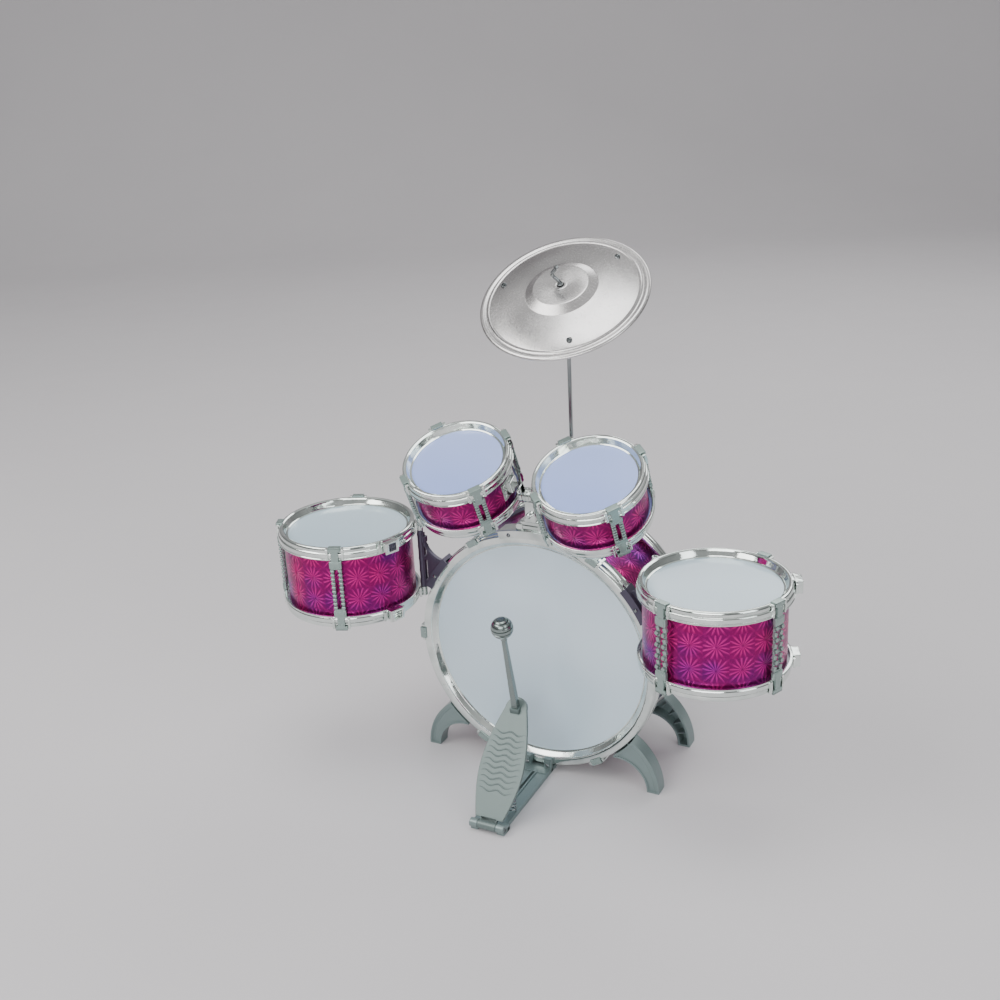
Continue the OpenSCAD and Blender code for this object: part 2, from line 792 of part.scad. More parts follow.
bass_shell();
bass_front_hoop();
bass_rear_hoop();
bass_front_head();
bass_rear_head();
bass_lugs();
leg_front_left();
leg_front_right();
leg_rear_left();
leg_rear_right();
pedal_base();
heel_pin();
footboard();
beater_shaft();
beater_ball();
pedal_spring();
tom_holder_base();
tom_holder_post();
tilt_pin();
clamp_screws();
cymbal_socket();
cymbal_rod();
rod_hook();
cymbal_washer();
cymbal();
cymbal_rivets();
side_left_bracket();
side_left_pin();
side_left_clips();
side_left_shell();
side_left_top_hoop();
side_left_bottom_hoop();
side_left_top_head();
side_left_bottom_head();
side_left_lugs();
side_right_bracket();
side_right_pin();
side_right_clips();
side_right_shell();
side_right_top_hoop();
side_right_bottom_hoop();
side_right_top_head();
side_right_bottom_head();
side_right_lugs();
upper_left_mount();
upper_left_shell();
upper_left_top_hoop();
upper_left_bottom_hoop();
upper_left_top_head();
upper_left_bottom_head();
upper_left_lugs();
upper_right_mount();
upper_right_shell();
upper_right_top_hoop();
upper_right_bottom_hoop();
upper_right_top_head();
upper_right_bottom_head();
upper_right_lugs();
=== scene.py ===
"""Looks of the junior drum kit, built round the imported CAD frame. Helpers take millimetres."""
import json
import math
from functools import partial

import bmesh
import bpy
from mathutils import Matrix, Vector


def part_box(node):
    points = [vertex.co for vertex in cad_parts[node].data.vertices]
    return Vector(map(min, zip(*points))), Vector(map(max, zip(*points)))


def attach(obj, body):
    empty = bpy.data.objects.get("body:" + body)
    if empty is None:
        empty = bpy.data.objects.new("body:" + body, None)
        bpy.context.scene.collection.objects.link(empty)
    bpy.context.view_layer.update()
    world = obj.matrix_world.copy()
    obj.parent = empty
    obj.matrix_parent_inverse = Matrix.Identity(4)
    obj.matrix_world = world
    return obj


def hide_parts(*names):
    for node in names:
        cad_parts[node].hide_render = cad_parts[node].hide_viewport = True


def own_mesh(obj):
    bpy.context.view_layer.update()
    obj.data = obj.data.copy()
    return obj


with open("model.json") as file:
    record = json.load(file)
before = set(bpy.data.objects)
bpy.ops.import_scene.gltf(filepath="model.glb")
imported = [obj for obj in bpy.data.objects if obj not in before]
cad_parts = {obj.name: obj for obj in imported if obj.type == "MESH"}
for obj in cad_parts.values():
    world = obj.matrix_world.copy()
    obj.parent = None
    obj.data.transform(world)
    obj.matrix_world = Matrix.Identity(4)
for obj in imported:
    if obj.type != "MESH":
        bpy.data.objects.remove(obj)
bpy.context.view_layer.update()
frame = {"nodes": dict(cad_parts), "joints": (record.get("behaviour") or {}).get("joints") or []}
TAU = 2 * math.pi
MM = 0.001
JOINTS = {j["name"]: j for j in frame["joints"]}
SIDES = (("left", -1), ("right", 1))

# Sizes that the frame doesn't give, in millimetres. Skins lie HEAD_DROP below the rims and end
# HEAD_EDGE inside a drum's radius; a tom's shell stands TOM_GAP inside its hoops' walls.
HEAD_DROP = 9.0
FILM = 1.0
HEAD_EDGE = 3.3
HOOP_WALL = 3.0
TOM_BAND = 15.5
TOM_GAP = 3.5
BASS_BAND = 20.0
PIN_R = 1.95
BORE_R = 2.1
TILT_BORE_R = 3.1
EAR_R = 9.0


# ---------------------------------------------------------------- places
def corners(node):
    """A node's box in millimetres."""
    low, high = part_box(node)
    return low / MM, high / MM


def middle(node):
    low, high = corners(node)
    return (low + high) / 2


def width(node):
    low, high = corners(node)
    return (high - low).x


def vertices(node):
    return [Vector(v.co) / MM for v in frame["nodes"][node].data.vertices]


def joint_at(name):
    return Vector(JOINTS[name]["pos_m"]) / MM


def frame_of(origin, z_axis, x_hint=(1, 0, 0)):
    """Matrix whose z is z_axis and whose x lies near x_hint; the origin is in millimetres."""
    z = Vector(z_axis).normalized()
    y = z.cross(Vector(x_hint)).normalized()
    x = y.cross(z)
    m = Matrix((x, y, z)).transposed().to_4x4()
    m.translation = Vector(origin)
    return m


def shift(x, y, z):
    return Matrix.Translation((x, y, z))


def turned(angle, axis="Z"):
    return Matrix.Rotation(angle, 4, axis)


def upright(y, step=-1, sign=1):
    """The frame of a plate drawn along X and Z, whose thickness runs from y along Y times step."""
    return Matrix(((sign, 0, 0, 0), (0, 0, step, y), (0, 1, 0, 0), (0, 0, 0, 1)))


ALONG_X = turned(TAU / 4, "Y")
FACING_OUT = Matrix(((0, 0, 1, 0), (1, 0, 0, 0), (0, 1, 0, 0), (0, 0, 0, 1)))


def drum_frame(key, ends=("top", "bottom")):
    """The frame of a drum, with its top rim at z = 0, and the drum's length."""
    top, low = (middle(f"{key}_{end}_head") for end in ends)
    axis = (top - low).normalized()
    length = (top - low).length + 2 * HEAD_DROP + FILM
    return frame_of(top + axis * (HEAD_DROP + FILM / 2), axis), length


# ---------------------------------------------------------------- geometry
def rounded(points, radius, steps=3):
    """A closed outline with its corners rounded; radius is one number or one for each corner."""
    out, n = [], len(points)
    for i, p in enumerate(points):
        r = radius[i] if hasattr(radius, "__len__") else radius
        p, a, b = Vector(p), Vector(points[i - 1]), Vector(points[(i + 1) % n])
        u, v = a - p, b - p
        if r <= 0 or u.length < 1e-6 or v.length < 1e-6:
            out.append(p)
            continue
        half = u.angle(v) / 2
        if half > math.radians(86):
            out.append(p)
            continue
        cut = min(r / math.tan(half), u.length * 0.45, v.length * 0.45)
        start, end = p + u.normalized() * cut, p + v.normalized() * cut
        for k in range(steps + 1):
            t = k / steps
            out.append(start * (1 - t) ** 2 + p * 2 * t * (1 - t) + end * t * t)
    return out


def rectangle(x0, x1, y0, y1, radius=None):
    outline = [(x0, y0), (x1, y0), (x1, y1), (x0, y1)]
    return rounded(outline, radius) if radius else outline


def polar(r, degrees):
    return r * math.cos(math.radians(degrees)), r * math.sin(math.radians(degrees))


def arc(cx, cy, r, a0, a1, steps):
    points = [polar(r, a0 + (a1 - a0) * k / steps) for k in range(steps + 1)]
    return [(cx + x, cy + y) for x, y in points]


def new_object(name, data):
    o = bpy.data.objects.new(name, data)
    bpy.context.scene.collection.objects.link(o)
    return o


class Piece:
    """One visible object. Its parts are drawn in millimetres in the frame at."""

    def __init__(self, name, body, look, node=None, at=None):
        self.name, self.body, self.node = name, body, node
        self.material, self.slot = look
        self.at = at or Matrix()
        self.bm = bmesh.new()

    def merge(self, part, m=None):
        if m is not None:
            part.transform(m)
            if m.determinant() < 0:
                bmesh.ops.reverse_faces(part, faces=part.faces)
        mesh = bpy.data.meshes.new("part")
        part.to_mesh(mesh)
        part.free()
        self.bm.from_mesh(mesh)
        bpy.data.meshes.remove(mesh)

    def block(self, x0, x1, y0, y1, z0, z1, bevel=0.4, m=None, steps=2):
        b = bmesh.new()
        bmesh.ops.create_cube(b, size=1)
        bmesh.ops.scale(b, vec=(x1 - x0, y1 - y0, z1 - z0), verts=b.verts)
        bmesh.ops.translate(b, vec=((x0 + x1) / 2, (y0 + y1) / 2, (z0 + z1) / 2), verts=b.verts)
        if bevel:
            bmesh.ops.bevel(b, geom=b.edges[:], offset=bevel, segments=steps, profile=0.5, affect="EDGES")
        self.merge(b, m)

    def lathe(self, outline, n=128, m=None, a0=0.0, a1=TAU):
        """A closed (r, z) outline turned round z."""
        b = bmesh.new()
        whole = abs(a1 - a0 - TAU) < 1e-6
        count = n if whole else n + 1
        rings = []
        for k in range(count):
            a = a0 + (a1 - a0) * k / n
            c, s = math.cos(a), math.sin(a)
            rings.append([b.verts.new((max(r, 0) * c, max(r, 0) * s, z)) for r, z in outline])
        size = len(outline)
        for k in range(n):
            p, q = rings[k], rings[(k + 1) % count]
            for i in range(size):
                j = (i + 1) % size
                b.faces.new((p[i], q[i], q[j], p[j]))
        if not whole:
            b.faces.new(rings[0])
            b.faces.new(reversed(rings[-1]))
        bmesh.ops.remove_doubles(b, verts=b.verts, dist=1e-4)
        bmesh.ops.recalc_face_normals(b, faces=b.faces)
        self.merge(b, m)

    def plate(self, outlines, z0, z1, bevel=0.4, m=None):
        """Flat outlines, the later ones being holes, with rounded edges from z0 to z1."""
        curve = bpy.data.curves.new("plate", "CURVE")
        curve.dimensions = "2D"
        curve.fill_mode = "BOTH"
        curve.bevel_depth = bevel
        curve.bevel_resolution = 1
        curve.offset = -bevel
        curve.extrude = (z1 - z0) / 2 - bevel
        for outline in outlines:
            s = curve.splines.new("POLY")
            s.points.add(len(outline) - 1)
            for point, co in zip(s.points, outline):
                point.co = (co[0], co[1], 0, 1)
            s.use_cyclic_u = True
        holder = new_object("plate", curve)
        solved = holder.evaluated_get(bpy.context.evaluated_depsgraph_get())
        mesh = bpy.data.meshes.new_from_object(solved)
        bpy.data.objects.remove(holder)
        b = bmesh.new()
        b.from_mesh(mesh)
        bpy.data.meshes.remove(mesh)
        bmesh.ops.remove_doubles(b, verts=b.verts, dist=1e-4)
        bmesh.ops.translate(b, vec=(0, 0, (z0 + z1) / 2), verts=b.verts)
        bmesh.ops.recalc_face_normals(b, faces=b.faces)
        self.merge(b, m)

    def tube(self, path, radius, sides=10, m=None, closed=False):
        """A wire along path; radius is one number or one for each point."""
        b = bmesh.new()
        path = [Vector(p) for p in path]
        n = len(path)
        side = None
        rings = []
        for i, p in enumerate(path):
            before = path[i - 1] if i or closed else p
            after = path[(i + 1) % n] if i < n - 1 or closed else p
            along = (after - before).normalized()
            if side is None:
                side = along.orthogonal().normalized()
            side = (side - along * side.dot(along)).normalized()
            other = along.cross(side)
            r = radius[i] if hasattr(radius, "__len__") else radius
            turns = [TAU * k / sides for k in range(sides)]
            rings.append([b.verts.new(p + (side * math.cos(a) + other * math.sin(a)) * r) for a in turns])
        for i in range(n if closed else n - 1):
            p, q = rings[i], rings[(i + 1) % n]
            for k in range(sides):
                j = (k + 1) % sides
                b.faces.new((p[k], p[j], q[j], q[k]))
        if not closed:
            b.faces.new(reversed(rings[0]))
            b.faces.new(rings[-1])
        bmesh.ops.recalc_face_normals(b, faces=b.faces)
        self.merge(b, m)

    def screw(self, at, axis, r=2.6, h=1.8):
        """A domed screw head with a cross slot."""
        m = frame_of(at, axis, (0.3, 0.2, 1))
        dome = [(0, h), (r * 0.45, h * 0.96), (r * 0.8, h * 0.75), (r, h * 0.3), (r, 0), (0, 0)]
        self.lathe(dome, 24, m)
        for k in range(2):
            self.block(-r * 0.6, r * 0.6, -0.25, 0.25, h * 0.6, h + 0.12, 0.05, m @ turned(k * TAU / 4), 1)

    def done(self, sharp=32):
        """Makes the object; edges sharper than this many degrees stay crisp."""
        bmesh.ops.scale(self.bm, vec=(MM, MM, MM), verts=self.bm.verts)
        mesh = bpy.data.meshes.new(self.name)
        self.bm.to_mesh(mesh)
        self.bm.free()
        mesh.shade_smooth()
        mesh.set_sharp_from_angle(angle=math.radians(sharp))
        o = new_object(self.name, mesh)
        mesh.materials.append(self.material)
        m = self.at.copy()
        m.translation = self.at.translation * MM
        o.matrix_world = m
        o.modifiers.new("normals", "WEIGHTED_NORMAL").keep_sharp = True
        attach(o, self.body)
        if self.node:
            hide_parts(self.node)
        return o


# ---------------------------------------------------------------- materials
class Nodes:
    """A short way to write a node material."""

    def __init__(self, name):
        self.mat = bpy.data.materials.new(name)
        self.mat.use_nodes = True
        self.tree = self.mat.node_tree
        self.bsdf = self.tree.nodes["Principled BSDF"]
        self.coord = self.new("ShaderNodeTexCoord").outputs["Object"]

    def new(self, kind, **settings):
        n = self.tree.nodes.new(kind)
        for k, v in settings.items():
            setattr(n, k, v)
        return n

    def put(self, socket, value):
        if isinstance(value, bpy.types.NodeSocket):
            self.tree.links.new(value, socket)
        else:
            socket.default_value = value

    def set(self, **values):
        for k, v in values.items():
            self.put(self.bsdf.inputs[k.replace("_", " ")], v)
        return self

    def math(self, op, a, b=0.0, clamp=False):
        n = self.new("ShaderNodeMath", operation=op, use_clamp=clamp)
        self.put(n.inputs[0], a)
        self.put(n.inputs[1], b)
        return n.outputs[0]

    def add(self, a, b, clamp=False):
        return self.math("ADD", a, b, clamp)

    def times(self, a, b):
        return self.math("MULTIPLY", a, b)

    def hypot(self, x, y):
        return self.math("SQRT", self.add(self.times(x, x), self.times(y, y)))

    def split(self, vector):
        n = self.new("ShaderNodeSeparateXYZ")
        self.put(n.inputs[0], vector)
        return n.outputs[0], n.outputs[1], n.outputs[2]

    def join(self, x, y, z):
        n = self.new("ShaderNodeCombineXYZ")
        for s, v in zip(n.inputs, (x, y, z)):
            self.put(s, v)
        return n.outputs[0]

    def noise(self, scale, detail=3.0, rough=0.5):
        n = self.new("ShaderNodeTexNoise")
        self.put(n.inputs["Vector"], self.coord)
        n.inputs["Scale"].default_value = scale
        n.inputs["Detail"].default_value = detail
        n.inputs["Roughness"].default_value = rough
        return n.outputs["Fac"]

    def span(self, value, lo, hi, a=0.0, b=1.0, smooth=False):
        n = self.new("ShaderNodeMapRange", interpolation_type="SMOOTHSTEP" if smooth else "LINEAR")
        for s, v in zip(n.inputs, (value, lo, hi, a, b)):
            self.put(s, v)
        return n.outputs[0]

    def mix(self, factor, a, b):
        n = self.new("ShaderNodeMix", data_type="RGBA")
        self.put(n.inputs[0], factor)
        self.put(n.inputs[6], a)
        self.put(n.inputs[7], b)
        return n.outputs[2]

    def blend(self, factor, light, dark):
        return self.mix(factor, srgb(light), srgb(dark))

    def bump(self, height, strength, distance):
        n = self.new("ShaderNodeBump")
        n.inputs["Strength"].default_value = strength
        n.inputs["Distance"].default_value = distance
        self.put(n.inputs["Height"], height)
        self.put(self.bsdf.inputs["Normal"], n.outputs[0])


def srgb(code, alpha=1.0):
    channel = [int(code[i:i + 2], 16) / 255 for i in (0, 2, 4)]
    return tuple(c / 12.92 if c <= 0.04045 else ((c + 0.055) / 1.055) ** 2.4 for c in channel) + (alpha,)


def plated(name, light, dark, rough):
    """Chrome plating on moulded plastic: bright, with faint moulding waves and finger wear."""
    n = Nodes(name)
    cloud = n.noise(38, 3)
    fine = n.noise(900, 2)
    wear = n.noise(140, 5, rough=0.65)
    n.set(Metallic=1.0, Base_Color=n.blend(n.span(cloud, 0.35, 0.7), light, dark),
          Roughness=n.add(n.span(wear, 0.35, 0.75, rough, rough + 0.09), n.span(fine, 0.3, 0.7, 0, 0.03)))
    n.bump(n.add(cloud, n.times(fine, 0.03)), 0.25, 0.0016)
    return n.mat


def metallic_paint(name, light, dark, rough=0.36, metal=0.45):
    """Plastic with metal flake and a slightly uneven sheen."""
    n = Nodes(name)
    cloud = n.noise(22, 4)
    flake = n.noise(2600, 1)
    scuff = n.noise(90, 6, rough=0.7)
    tone = n.add(n.span(cloud, 0.3, 0.7, 0.44, 0.54), n.span(flake, 0.35, 0.65, -0.05, 0.05), clamp=True)
    sheen = n.add(n.span(scuff, 0.35, 0.7, rough, rough + 0.04), n.span(flake, 0.3, 0.7, -0.01, 0.01))
    n.set(Metallic=metal, Base_Color=n.blend(tone, dark, light), Roughness=sheen)
    n.bump(n.add(n.times(flake, 0.3), n.times(scuff, 0.3)), 0.04, 0.0001)
    return n.mat


def foil(name):
    """Patterned foil: bursts of rays on a grid round the drum, in magenta and violet patches."""
    n = Nodes(name)
    pitch, rays_per_turn = 0.0285, 14.0
    x, y, z = n.split(n.coord)
    around = n.math("DIVIDE", n.times(n.math("ARCTAN2", y, x), n.hypot(x, y)), pitch)
    up = n.math("DIVIDE", z, pitch)
    cell_u, cell_v = n.math("FLOOR", around), n.math("FLOOR", up)
    u = n.math("SUBTRACT", n.math("SUBTRACT", around, cell_u), 0.5)
    v = n.math("SUBTRACT", n.math("SUBTRACT", up, cell_v), 0.5)
    cell = n.new("ShaderNodeTexWhiteNoise", noise_dimensions="2D")
    n.put(cell.inputs["Vector"], n.join(cell_u, cell_v, 0.0))
    chance, tint = cell.outputs["Value"], n.split(cell.outputs["Color"])
    # each cell's burst: rays by bearing, uneven in length, fading at the tip and the core
    far = n.hypot(u, v)
    bearing = n.add(n.math("DIVIDE", n.math("ARCTAN2", v, u), TAU), n.times(chance, 0.07))
    place = n.times(bearing, rays_per_turn)
    fan = n.times(n.math("PINGPONG", place, 0.5), 2.0)
    each = n.new("ShaderNodeTexWhiteNoise", noise_dimensions="3D")
    n.put(each.inputs["Vector"], n.join(cell_u, cell_v, n.math("FLOOR", n.add(place, 0.5))))
    reach = n.times(each.outputs["Value"], 0.2)
    petal = n.span(n.math("SUBTRACT", fan, n.times(far, 0.6)), 0.3, 0.42, 0, 1, True)
    facet = n.math("FRACT", place)
    tip = n.span(n.add(far, reach), 0.46, 0.66, 1, 0.2, True)
    core = n.span(far, 0.0, 0.09, 0.0, 1.0, True)
    rays = n.times(n.times(petal, tip), core)
    # painted highlight: each printed ray's colour is ramped brighter across its facet, as if lit from one
    # side
    painted_ray_glint = n.times(rays, n.span(facet, 0.0, 1.0, 0.35, 1.0))
    patch = n.span(n.noise(17, 2), 0.48, 0.66, 0, 1, True)
    violet = n.add(n.times(tint[0], 0.3), n.times(patch, 0.7), clamp=True)
    ground = n.blend(violet, "8c0a5c", "4a1068")
    ray = n.blend(violet, "f0248f", "a12ab0")
    colour = n.mix(painted_ray_glint, ground, ray)
    colour = n.mix(n.span(n.noise(420, 3), 0.45, 0.75, 0, 0.2), colour, srgb("bd1482"))
    n.set(Metallic=0.78, Base_Color=colour, Roughness=n.span(n.noise(120, 4), 0.3, 0.7, 0.26, 0.36),
          Specular_IOR_Level=0.3)
    n.bump(n.add(n.times(rays, facet), n.times(n.noise(60, 2), 0.3)), 0.7, 0.0006)
    return n.mat


def film(name, light, dark):
    """Coated drum skin: pale, faintly cloudy and satin."""
    n = Nodes(name)
    n.set(Base_Color=n.blend(n.span(n.noise(5, 1), 0.3, 0.7, 0, 1, True), light, dark),
          Roughness=n.span(n.noise(12, 2), 0.3, 0.7, 0.2, 0.25), Coat_Weight=0.3, Coat_Roughness=0.12,
          Specular_IOR_Level=0.5)
    n.bump(n.noise(9, 1), 0.06, 0.002)
    return n.mat


def steel(name, light, dark, rough):
    """Polished steel wire and pins with fine scratches."""
    n = Nodes(name)
    scratch = n.noise(500, 4)
    n.set(Metallic=1.0, Base_Color=n.blend(n.span(n.noise(30, 3), 0.3, 0.7, 0, 0.5), light, dark),
          Roughness=n.span(scratch, 0.3, 0.75, rough, rough + 0.12))
    n.bump(scratch, 0.1, 0.0002)
    return n.mat


def spun_steel(name, light, dark):
    """The cymbal: steel turned on a lathe, so its gloss is drawn out across the fine grooves."""
    n = Nodes(name)
    x, y, _ = n.split(n.coord)
    radians_per_metre = 5200
    ring = n.math("SINE", n.times(n.add(n.hypot(x, y), n.times(n.noise(40, 2), 0.0006)), radians_per_metre))
    scratch = n.noise(420, 5)
    tone = n.add(n.span(n.noise(30, 3), 0.3, 0.7, 0.1, 0.4), n.times(ring, 0.05), clamp=True)
    around = n.new("ShaderNodeTangent", direction_type="RADIAL", axis="Z").outputs[0]
    n.set(Metallic=1.0, Base_Color=n.blend(tone, light, dark), Anisotropic=0.75, Tangent=around,
          Roughness=n.span(scratch, 0.3, 0.75, 0.2, 0.3))
    n.bump(n.add(n.times(ring, 0.5), n.times(scratch, 0.3)), 0.06, 0.0001)
    return n.mat


def rubber(name, light, dark):
    n = Nodes(name)
    grain = n.noise(1200, 3)
    n.set(Base_Color=n.blend(n.span(n.noise(200, 4), 0.3, 0.7), light, dark),
          Roughness=n.span(grain, 0.3, 0.7, 0.5, 0.7))
    n.bump(grain, 0.2, 0.0003)
    return n.mat


def look(make, name, *settings, slot=None):
    """A material and the name of the part's material that it stands for."""
    return make(name, *settings), slot or name


CHROME = look(plated, "plated_hoop", "eaf0ec", "cdd6d2", 0.04)
FITTING = look(plated, "plated_fittings", "d8ddda", "b5bebb", 0.08)
FOIL = look(foil, "pink_foil")
BASS_FILM = look(film, "pale_film", "d0e1eb", "c3d6e2")
# painted shade: the tom skins use a darker copy of the pale film
TOM_FILM_SHADED = look(film, "tom_film_shaded", "c0d4df", "b3c9d5", slot="pale_film")
LILAC_FILM = look(film, "lilac_film", "a9bcf0", "98ade9")
SAGE = look(metallic_paint, "sage_lugs", "a9b9b4", "7d908c", 0.24, 0.65)
SAGE_LEG = look(metallic_paint, "sage_legs", "8b9b98", "6c7b7d", 0.32)
SAGE_BASE = (SAGE_LEG[0], "sage_pedal")
# painted shade: the footboard uses a darker copy of the pedal's sage paint, against the top light that falls
# full on it
SAGE_BOARD_SHADED = look(metallic_paint, "sage_pedal", "73807c", "5d6b6b", 0.36)
BEATER = look(metallic_paint, "sage_beater", "96a19f", "78827f", 0.2, 0.9, slot="sage_pedal")
DARK = look(metallic_paint, "dark_bracket", "5d5868", "3c384a")
CYMBAL = look(spun_steel, "cymbal_steel", "dcdad9", "a5a2a2")
STEEL = look(steel, "steel_hardware", "939899", "5c6163", 0.1)
RUBBER = look(rubber, "black_rubber", "2b2b2e", "17171a")


# ---------------------------------------------------------------- drums
def hoop(piece, r, head_r, band, rim_w, m=None):
    """A pressed hoop: skin ring, sloping lip, crowned rim and a side band in two tiers."""
    rim_in = r - HOOP_WALL - rim_w
    step = -band * 0.42
    skin_ring = [(head_r, 0), (head_r, 0.9), (head_r + 1.3, 1.5), (head_r + 1.7, 1.1), (head_r + 2.3, 2.6)]
    rim = [
        (rim_in - 1.6, -2.6), (rim_in - 0.9, -0.7), (rim_in + 0.3, -0.1), (rim_in + rim_w * 0.35, 0.3),
        (rim_in + rim_w * 0.7, 0.35), (r - HOOP_WALL, 0.1), (r - 2.2, -0.5), (r - 1.75, -1.6),
    ]
    tiers = [
        (r - 1.35, step * 0.45), (r - 1.35, step * 0.7), (r - 1.75, step + 0.6), (r - 1.1, step + 0.1),
        (r - 0.45, step - 0.5), (r - 0.15, step - 1.5), (r, (step - band) / 2), (r - 0.15, -band + 3.4),
        (r - 0.75, -band + 2.5), (r - 0.75, -band + 1.9), (r - 0.05, -band + 1.3), (r - 0.15, -band + 0.3),
        (r - 0.7, -band), (r - HOOP_WALL, -band), (r - HOOP_WALL, -HEAD_DROP),
    ]
    piece.lathe([(x, z - HEAD_DROP) for x, z in skin_ring] + rim + tiers, 160, m)


def low_end(length):
    """The frame of a drum's other end, seen from outside."""
    return shift(0, 0, -length) @ Matrix.Scale(-1, 4, (0, 0, 1))


def skin(piece, r, m=None):
    """A skin with a stamped collar ring just inside the hoop."""
    collar = r * 0.93
    face = [(0, -0.1), (collar * 0.5, -0.07), (collar - 2.4, 0), (collar - 1.2, -0.02), (collar - 0.5, -0.45),
            (collar + 0.5, -0.45), (collar + 1.2, -0.02), (r, 0), (r, -FILM), (0, -FILM)]
    piece.lathe([(x, z - HEAD_DROP) for x, z in face], 128, m)


def shell(piece, r, length, seams):
    """A foil shell with its overlap seams."""
    top, low = -HEAD_DROP - FILM, -length + HEAD_DROP + FILM
    piece.lathe(rectangle(r - 2, r, top, low), 180)
    seam_half = 2.6 / r
    for a in seams:
        strip = rectangle(r - 0.3, r + 0.22, top - 0.5, low + 0.5)
        piece.lathe(strip, 6, None, a - seam_half, a + seam_half)


def lug_end(piece, r, band, m, plate):
    """The T hooked over the rim, its neck, and the plate that holds the two bars."""
    t = 2.6
    piece.block(r - 5.5, r + t, -7.5, 7.5, 0.25, 2.0, 0.45, m)
    piece.block(r + 0.1, r + t, -7.5, 7.5, -3.4, 1.9, 0.45, m)
    piece.block(r + 0.1, r + t - 0.2, -4.5, 4.5, -band - 0.6, -2.5, 0.4, m)
    piece.block(r - 1.7, r + t, -7.5, 7.5, -band - plate, -band - 0.4, 0.5, m)
    piece.block(r + t - 0.6, r + t + 0.35, -5.4, 5.4, -band - plate + 1.3, -band - 1.8, 0.35, m)
    piece.block(r - 1.4, r + 1.9, -6.6, 6.6, -band - plate - 1.7, -band - plate + 0.5, 0.4, m)


def lug(piece, angle, r, length, band, rope, beads):
    """One lug: two ends, with taller plates on a long drum, and two bars of beads or leaning rope."""
    m = turned(angle)
    plate = 9.3 if length > 90 else 5.0
    lug_end(piece, r, band, m, plate)
    lug_end(piece, r, band, m @ low_end(length), plate)
    top, low = -band - plate - 0.9, -length + band + plate + 0.9
    pitch = (top - low) / beads
    tall = pitch * (0.38 if rope else 0.36)
    half, bevel, steps = (2.2, 0.7, 2) if rope else (2.7, tall * 0.85, 4)
    sway, lean = (1.0, math.radians(24)) if rope else (0.0, 0.0)
    for y in (-4.7, 4.7):
        piece.block(r - 2.1, r - 0.3, y - 1.7, y + 1.7, low, top, 0.4, m, 1)
        for k in range(beads):
            way = 1 if k % 2 else -1
            bead = m @ shift(r, y + way * sway, low + (k + 0.5) * pitch) @ turned(way * lean, "X")
            piece.block(-1.6, 2.7, -half, half, -tall, tall, bevel, bead, steps)


def tabs(piece, angle, r, band, m=None):
    """The little plated clips on both sides of a lug's head."""
    turn = (m or Matrix()) @ turned(angle)
    for y in (-9.6, 9.6):
        piece.block(r - 1.3, r + 1.7, y - 1.5, y + 1.5, -band + 1.0, -0.9, 0.45, turn)
        piece.block(r - 3.0, r + 1.2, y - 1.5, y + 1.5, -1.4, 0.55, 0.4, turn)
        piece.block(r - 0.4, r + 2.4, y - 0.9, y + 0.9, -band * 0.75, -band * 0.35, 0.4, turn)


def drum(key, body, *, radius, head_r, lugs_at, seams, beads, film_look, cad_ends=("top", "bottom"),
         band=TOM_BAND, rim_w=3.0, gap=TOM_GAP, rope=False, extra=None):
    """Hoops, skins, shell and lugs of one drum. extra(piece, radius, m) adds to each hoop."""
    at, length = drum_frame(key, cad_ends)
    ends = (("top", cad_ends[0], None), ("low", cad_ends[1], low_end(length)))
    for end, cad_end, m in ends:
        ring = Piece(f"{key}_hoop_{end}", body, CHROME, f"{key}_{cad_end}_hoop", at)
        hoop(ring, radius, head_r, band, rim_w, m)
        for a in lugs_at:
            tabs(ring, a, radius, band, m)
        if extra:
            extra(ring, radius, m)
        ring.done()
    for end, cad_end, m in ends:
        head = Piece(f"{key}_skin_{end}", body, film_look, f"{key}_{cad_end}_head", at)
        skin(head, radius - HEAD_EDGE, m)
        head.done()
    wrap = Piece(f"{key}_foil", body, FOIL, f"{key}_shell", at)
    shell(wrap, radius - HOOP_WALL - gap, length, seams)
    wrap.done()
    lugs = Piece(f"{key}_lugs", body, SAGE, f"{key}_lugs", at)
    for a in lugs_at:
        lug(lugs, a, radius, length, band, rope, beads)
    lugs.done()


def deg(*values):
    return [math.radians(v) for v in values]


def bass_clips(piece, r, m):
    """Small clips on the bass drum's rims, between its lugs."""
    for a in deg(30, 90, 150, 210, 270, 330):
        piece.block(r - 9.5, r - 3.5, -4.5, 4.5, -0.6, 0.75, 0.35, (m or Matrix()) @ turned(a))


def accessory(sign, piece, r, m):
    """A square box on the hoop with a clasp on its rim; the upper box has a dark socket."""
    band = TOM_BAND
    turn = (m or Matrix()) @ turned(math.radians(22.5 * sign))
    face = rectangle(-10, 10, -band + 0.2, -0.4, 1.0)
    hole = rectangle(-4.4, 6.2, -12.2, -2.6, 0.8)
    piece.plate([face, hole], r - 1.0, r + 7.6, 0.5, turn @ FACING_OUT)
    piece.block(r - 4.5, r - 1.0, -8, 8, -1.0, 0.75, 0.5, turn)
    for y in (-13.5, 13.5):
        piece.block(r - 1.2, r + 1.5, y - 2.2, y + 2.2, -band + 2.2, -1.6, 0.5, turn)
    if m is None:
        dark = Piece(f"{piece.name}_socket", piece.body, DARK, at=piece.at)
        dark.block(r - 0.8, r + 2.2, -4.3, 6.1, -12.1, -2.7, 0.3, turn)
        dark.done()


BASS_R = width("bass_front_hoop") / 2
SIDE_R = width("side_left_top_head") / 2 + HEAD_EDGE
UPPER_R = width("upper_left_top_head") / 2 + HEAD_EDGE
drum("bass", "stand", radius=BASS_R, head_r=141, lugs_at=deg(0, 60, 120, 180, 240, 300),
     seams=deg(20, 200), beads=12, film_look=BASS_FILM, cad_ends=("front", "rear"), band=BASS_BAND,
     rim_w=8, gap=6, extra=bass_clips)

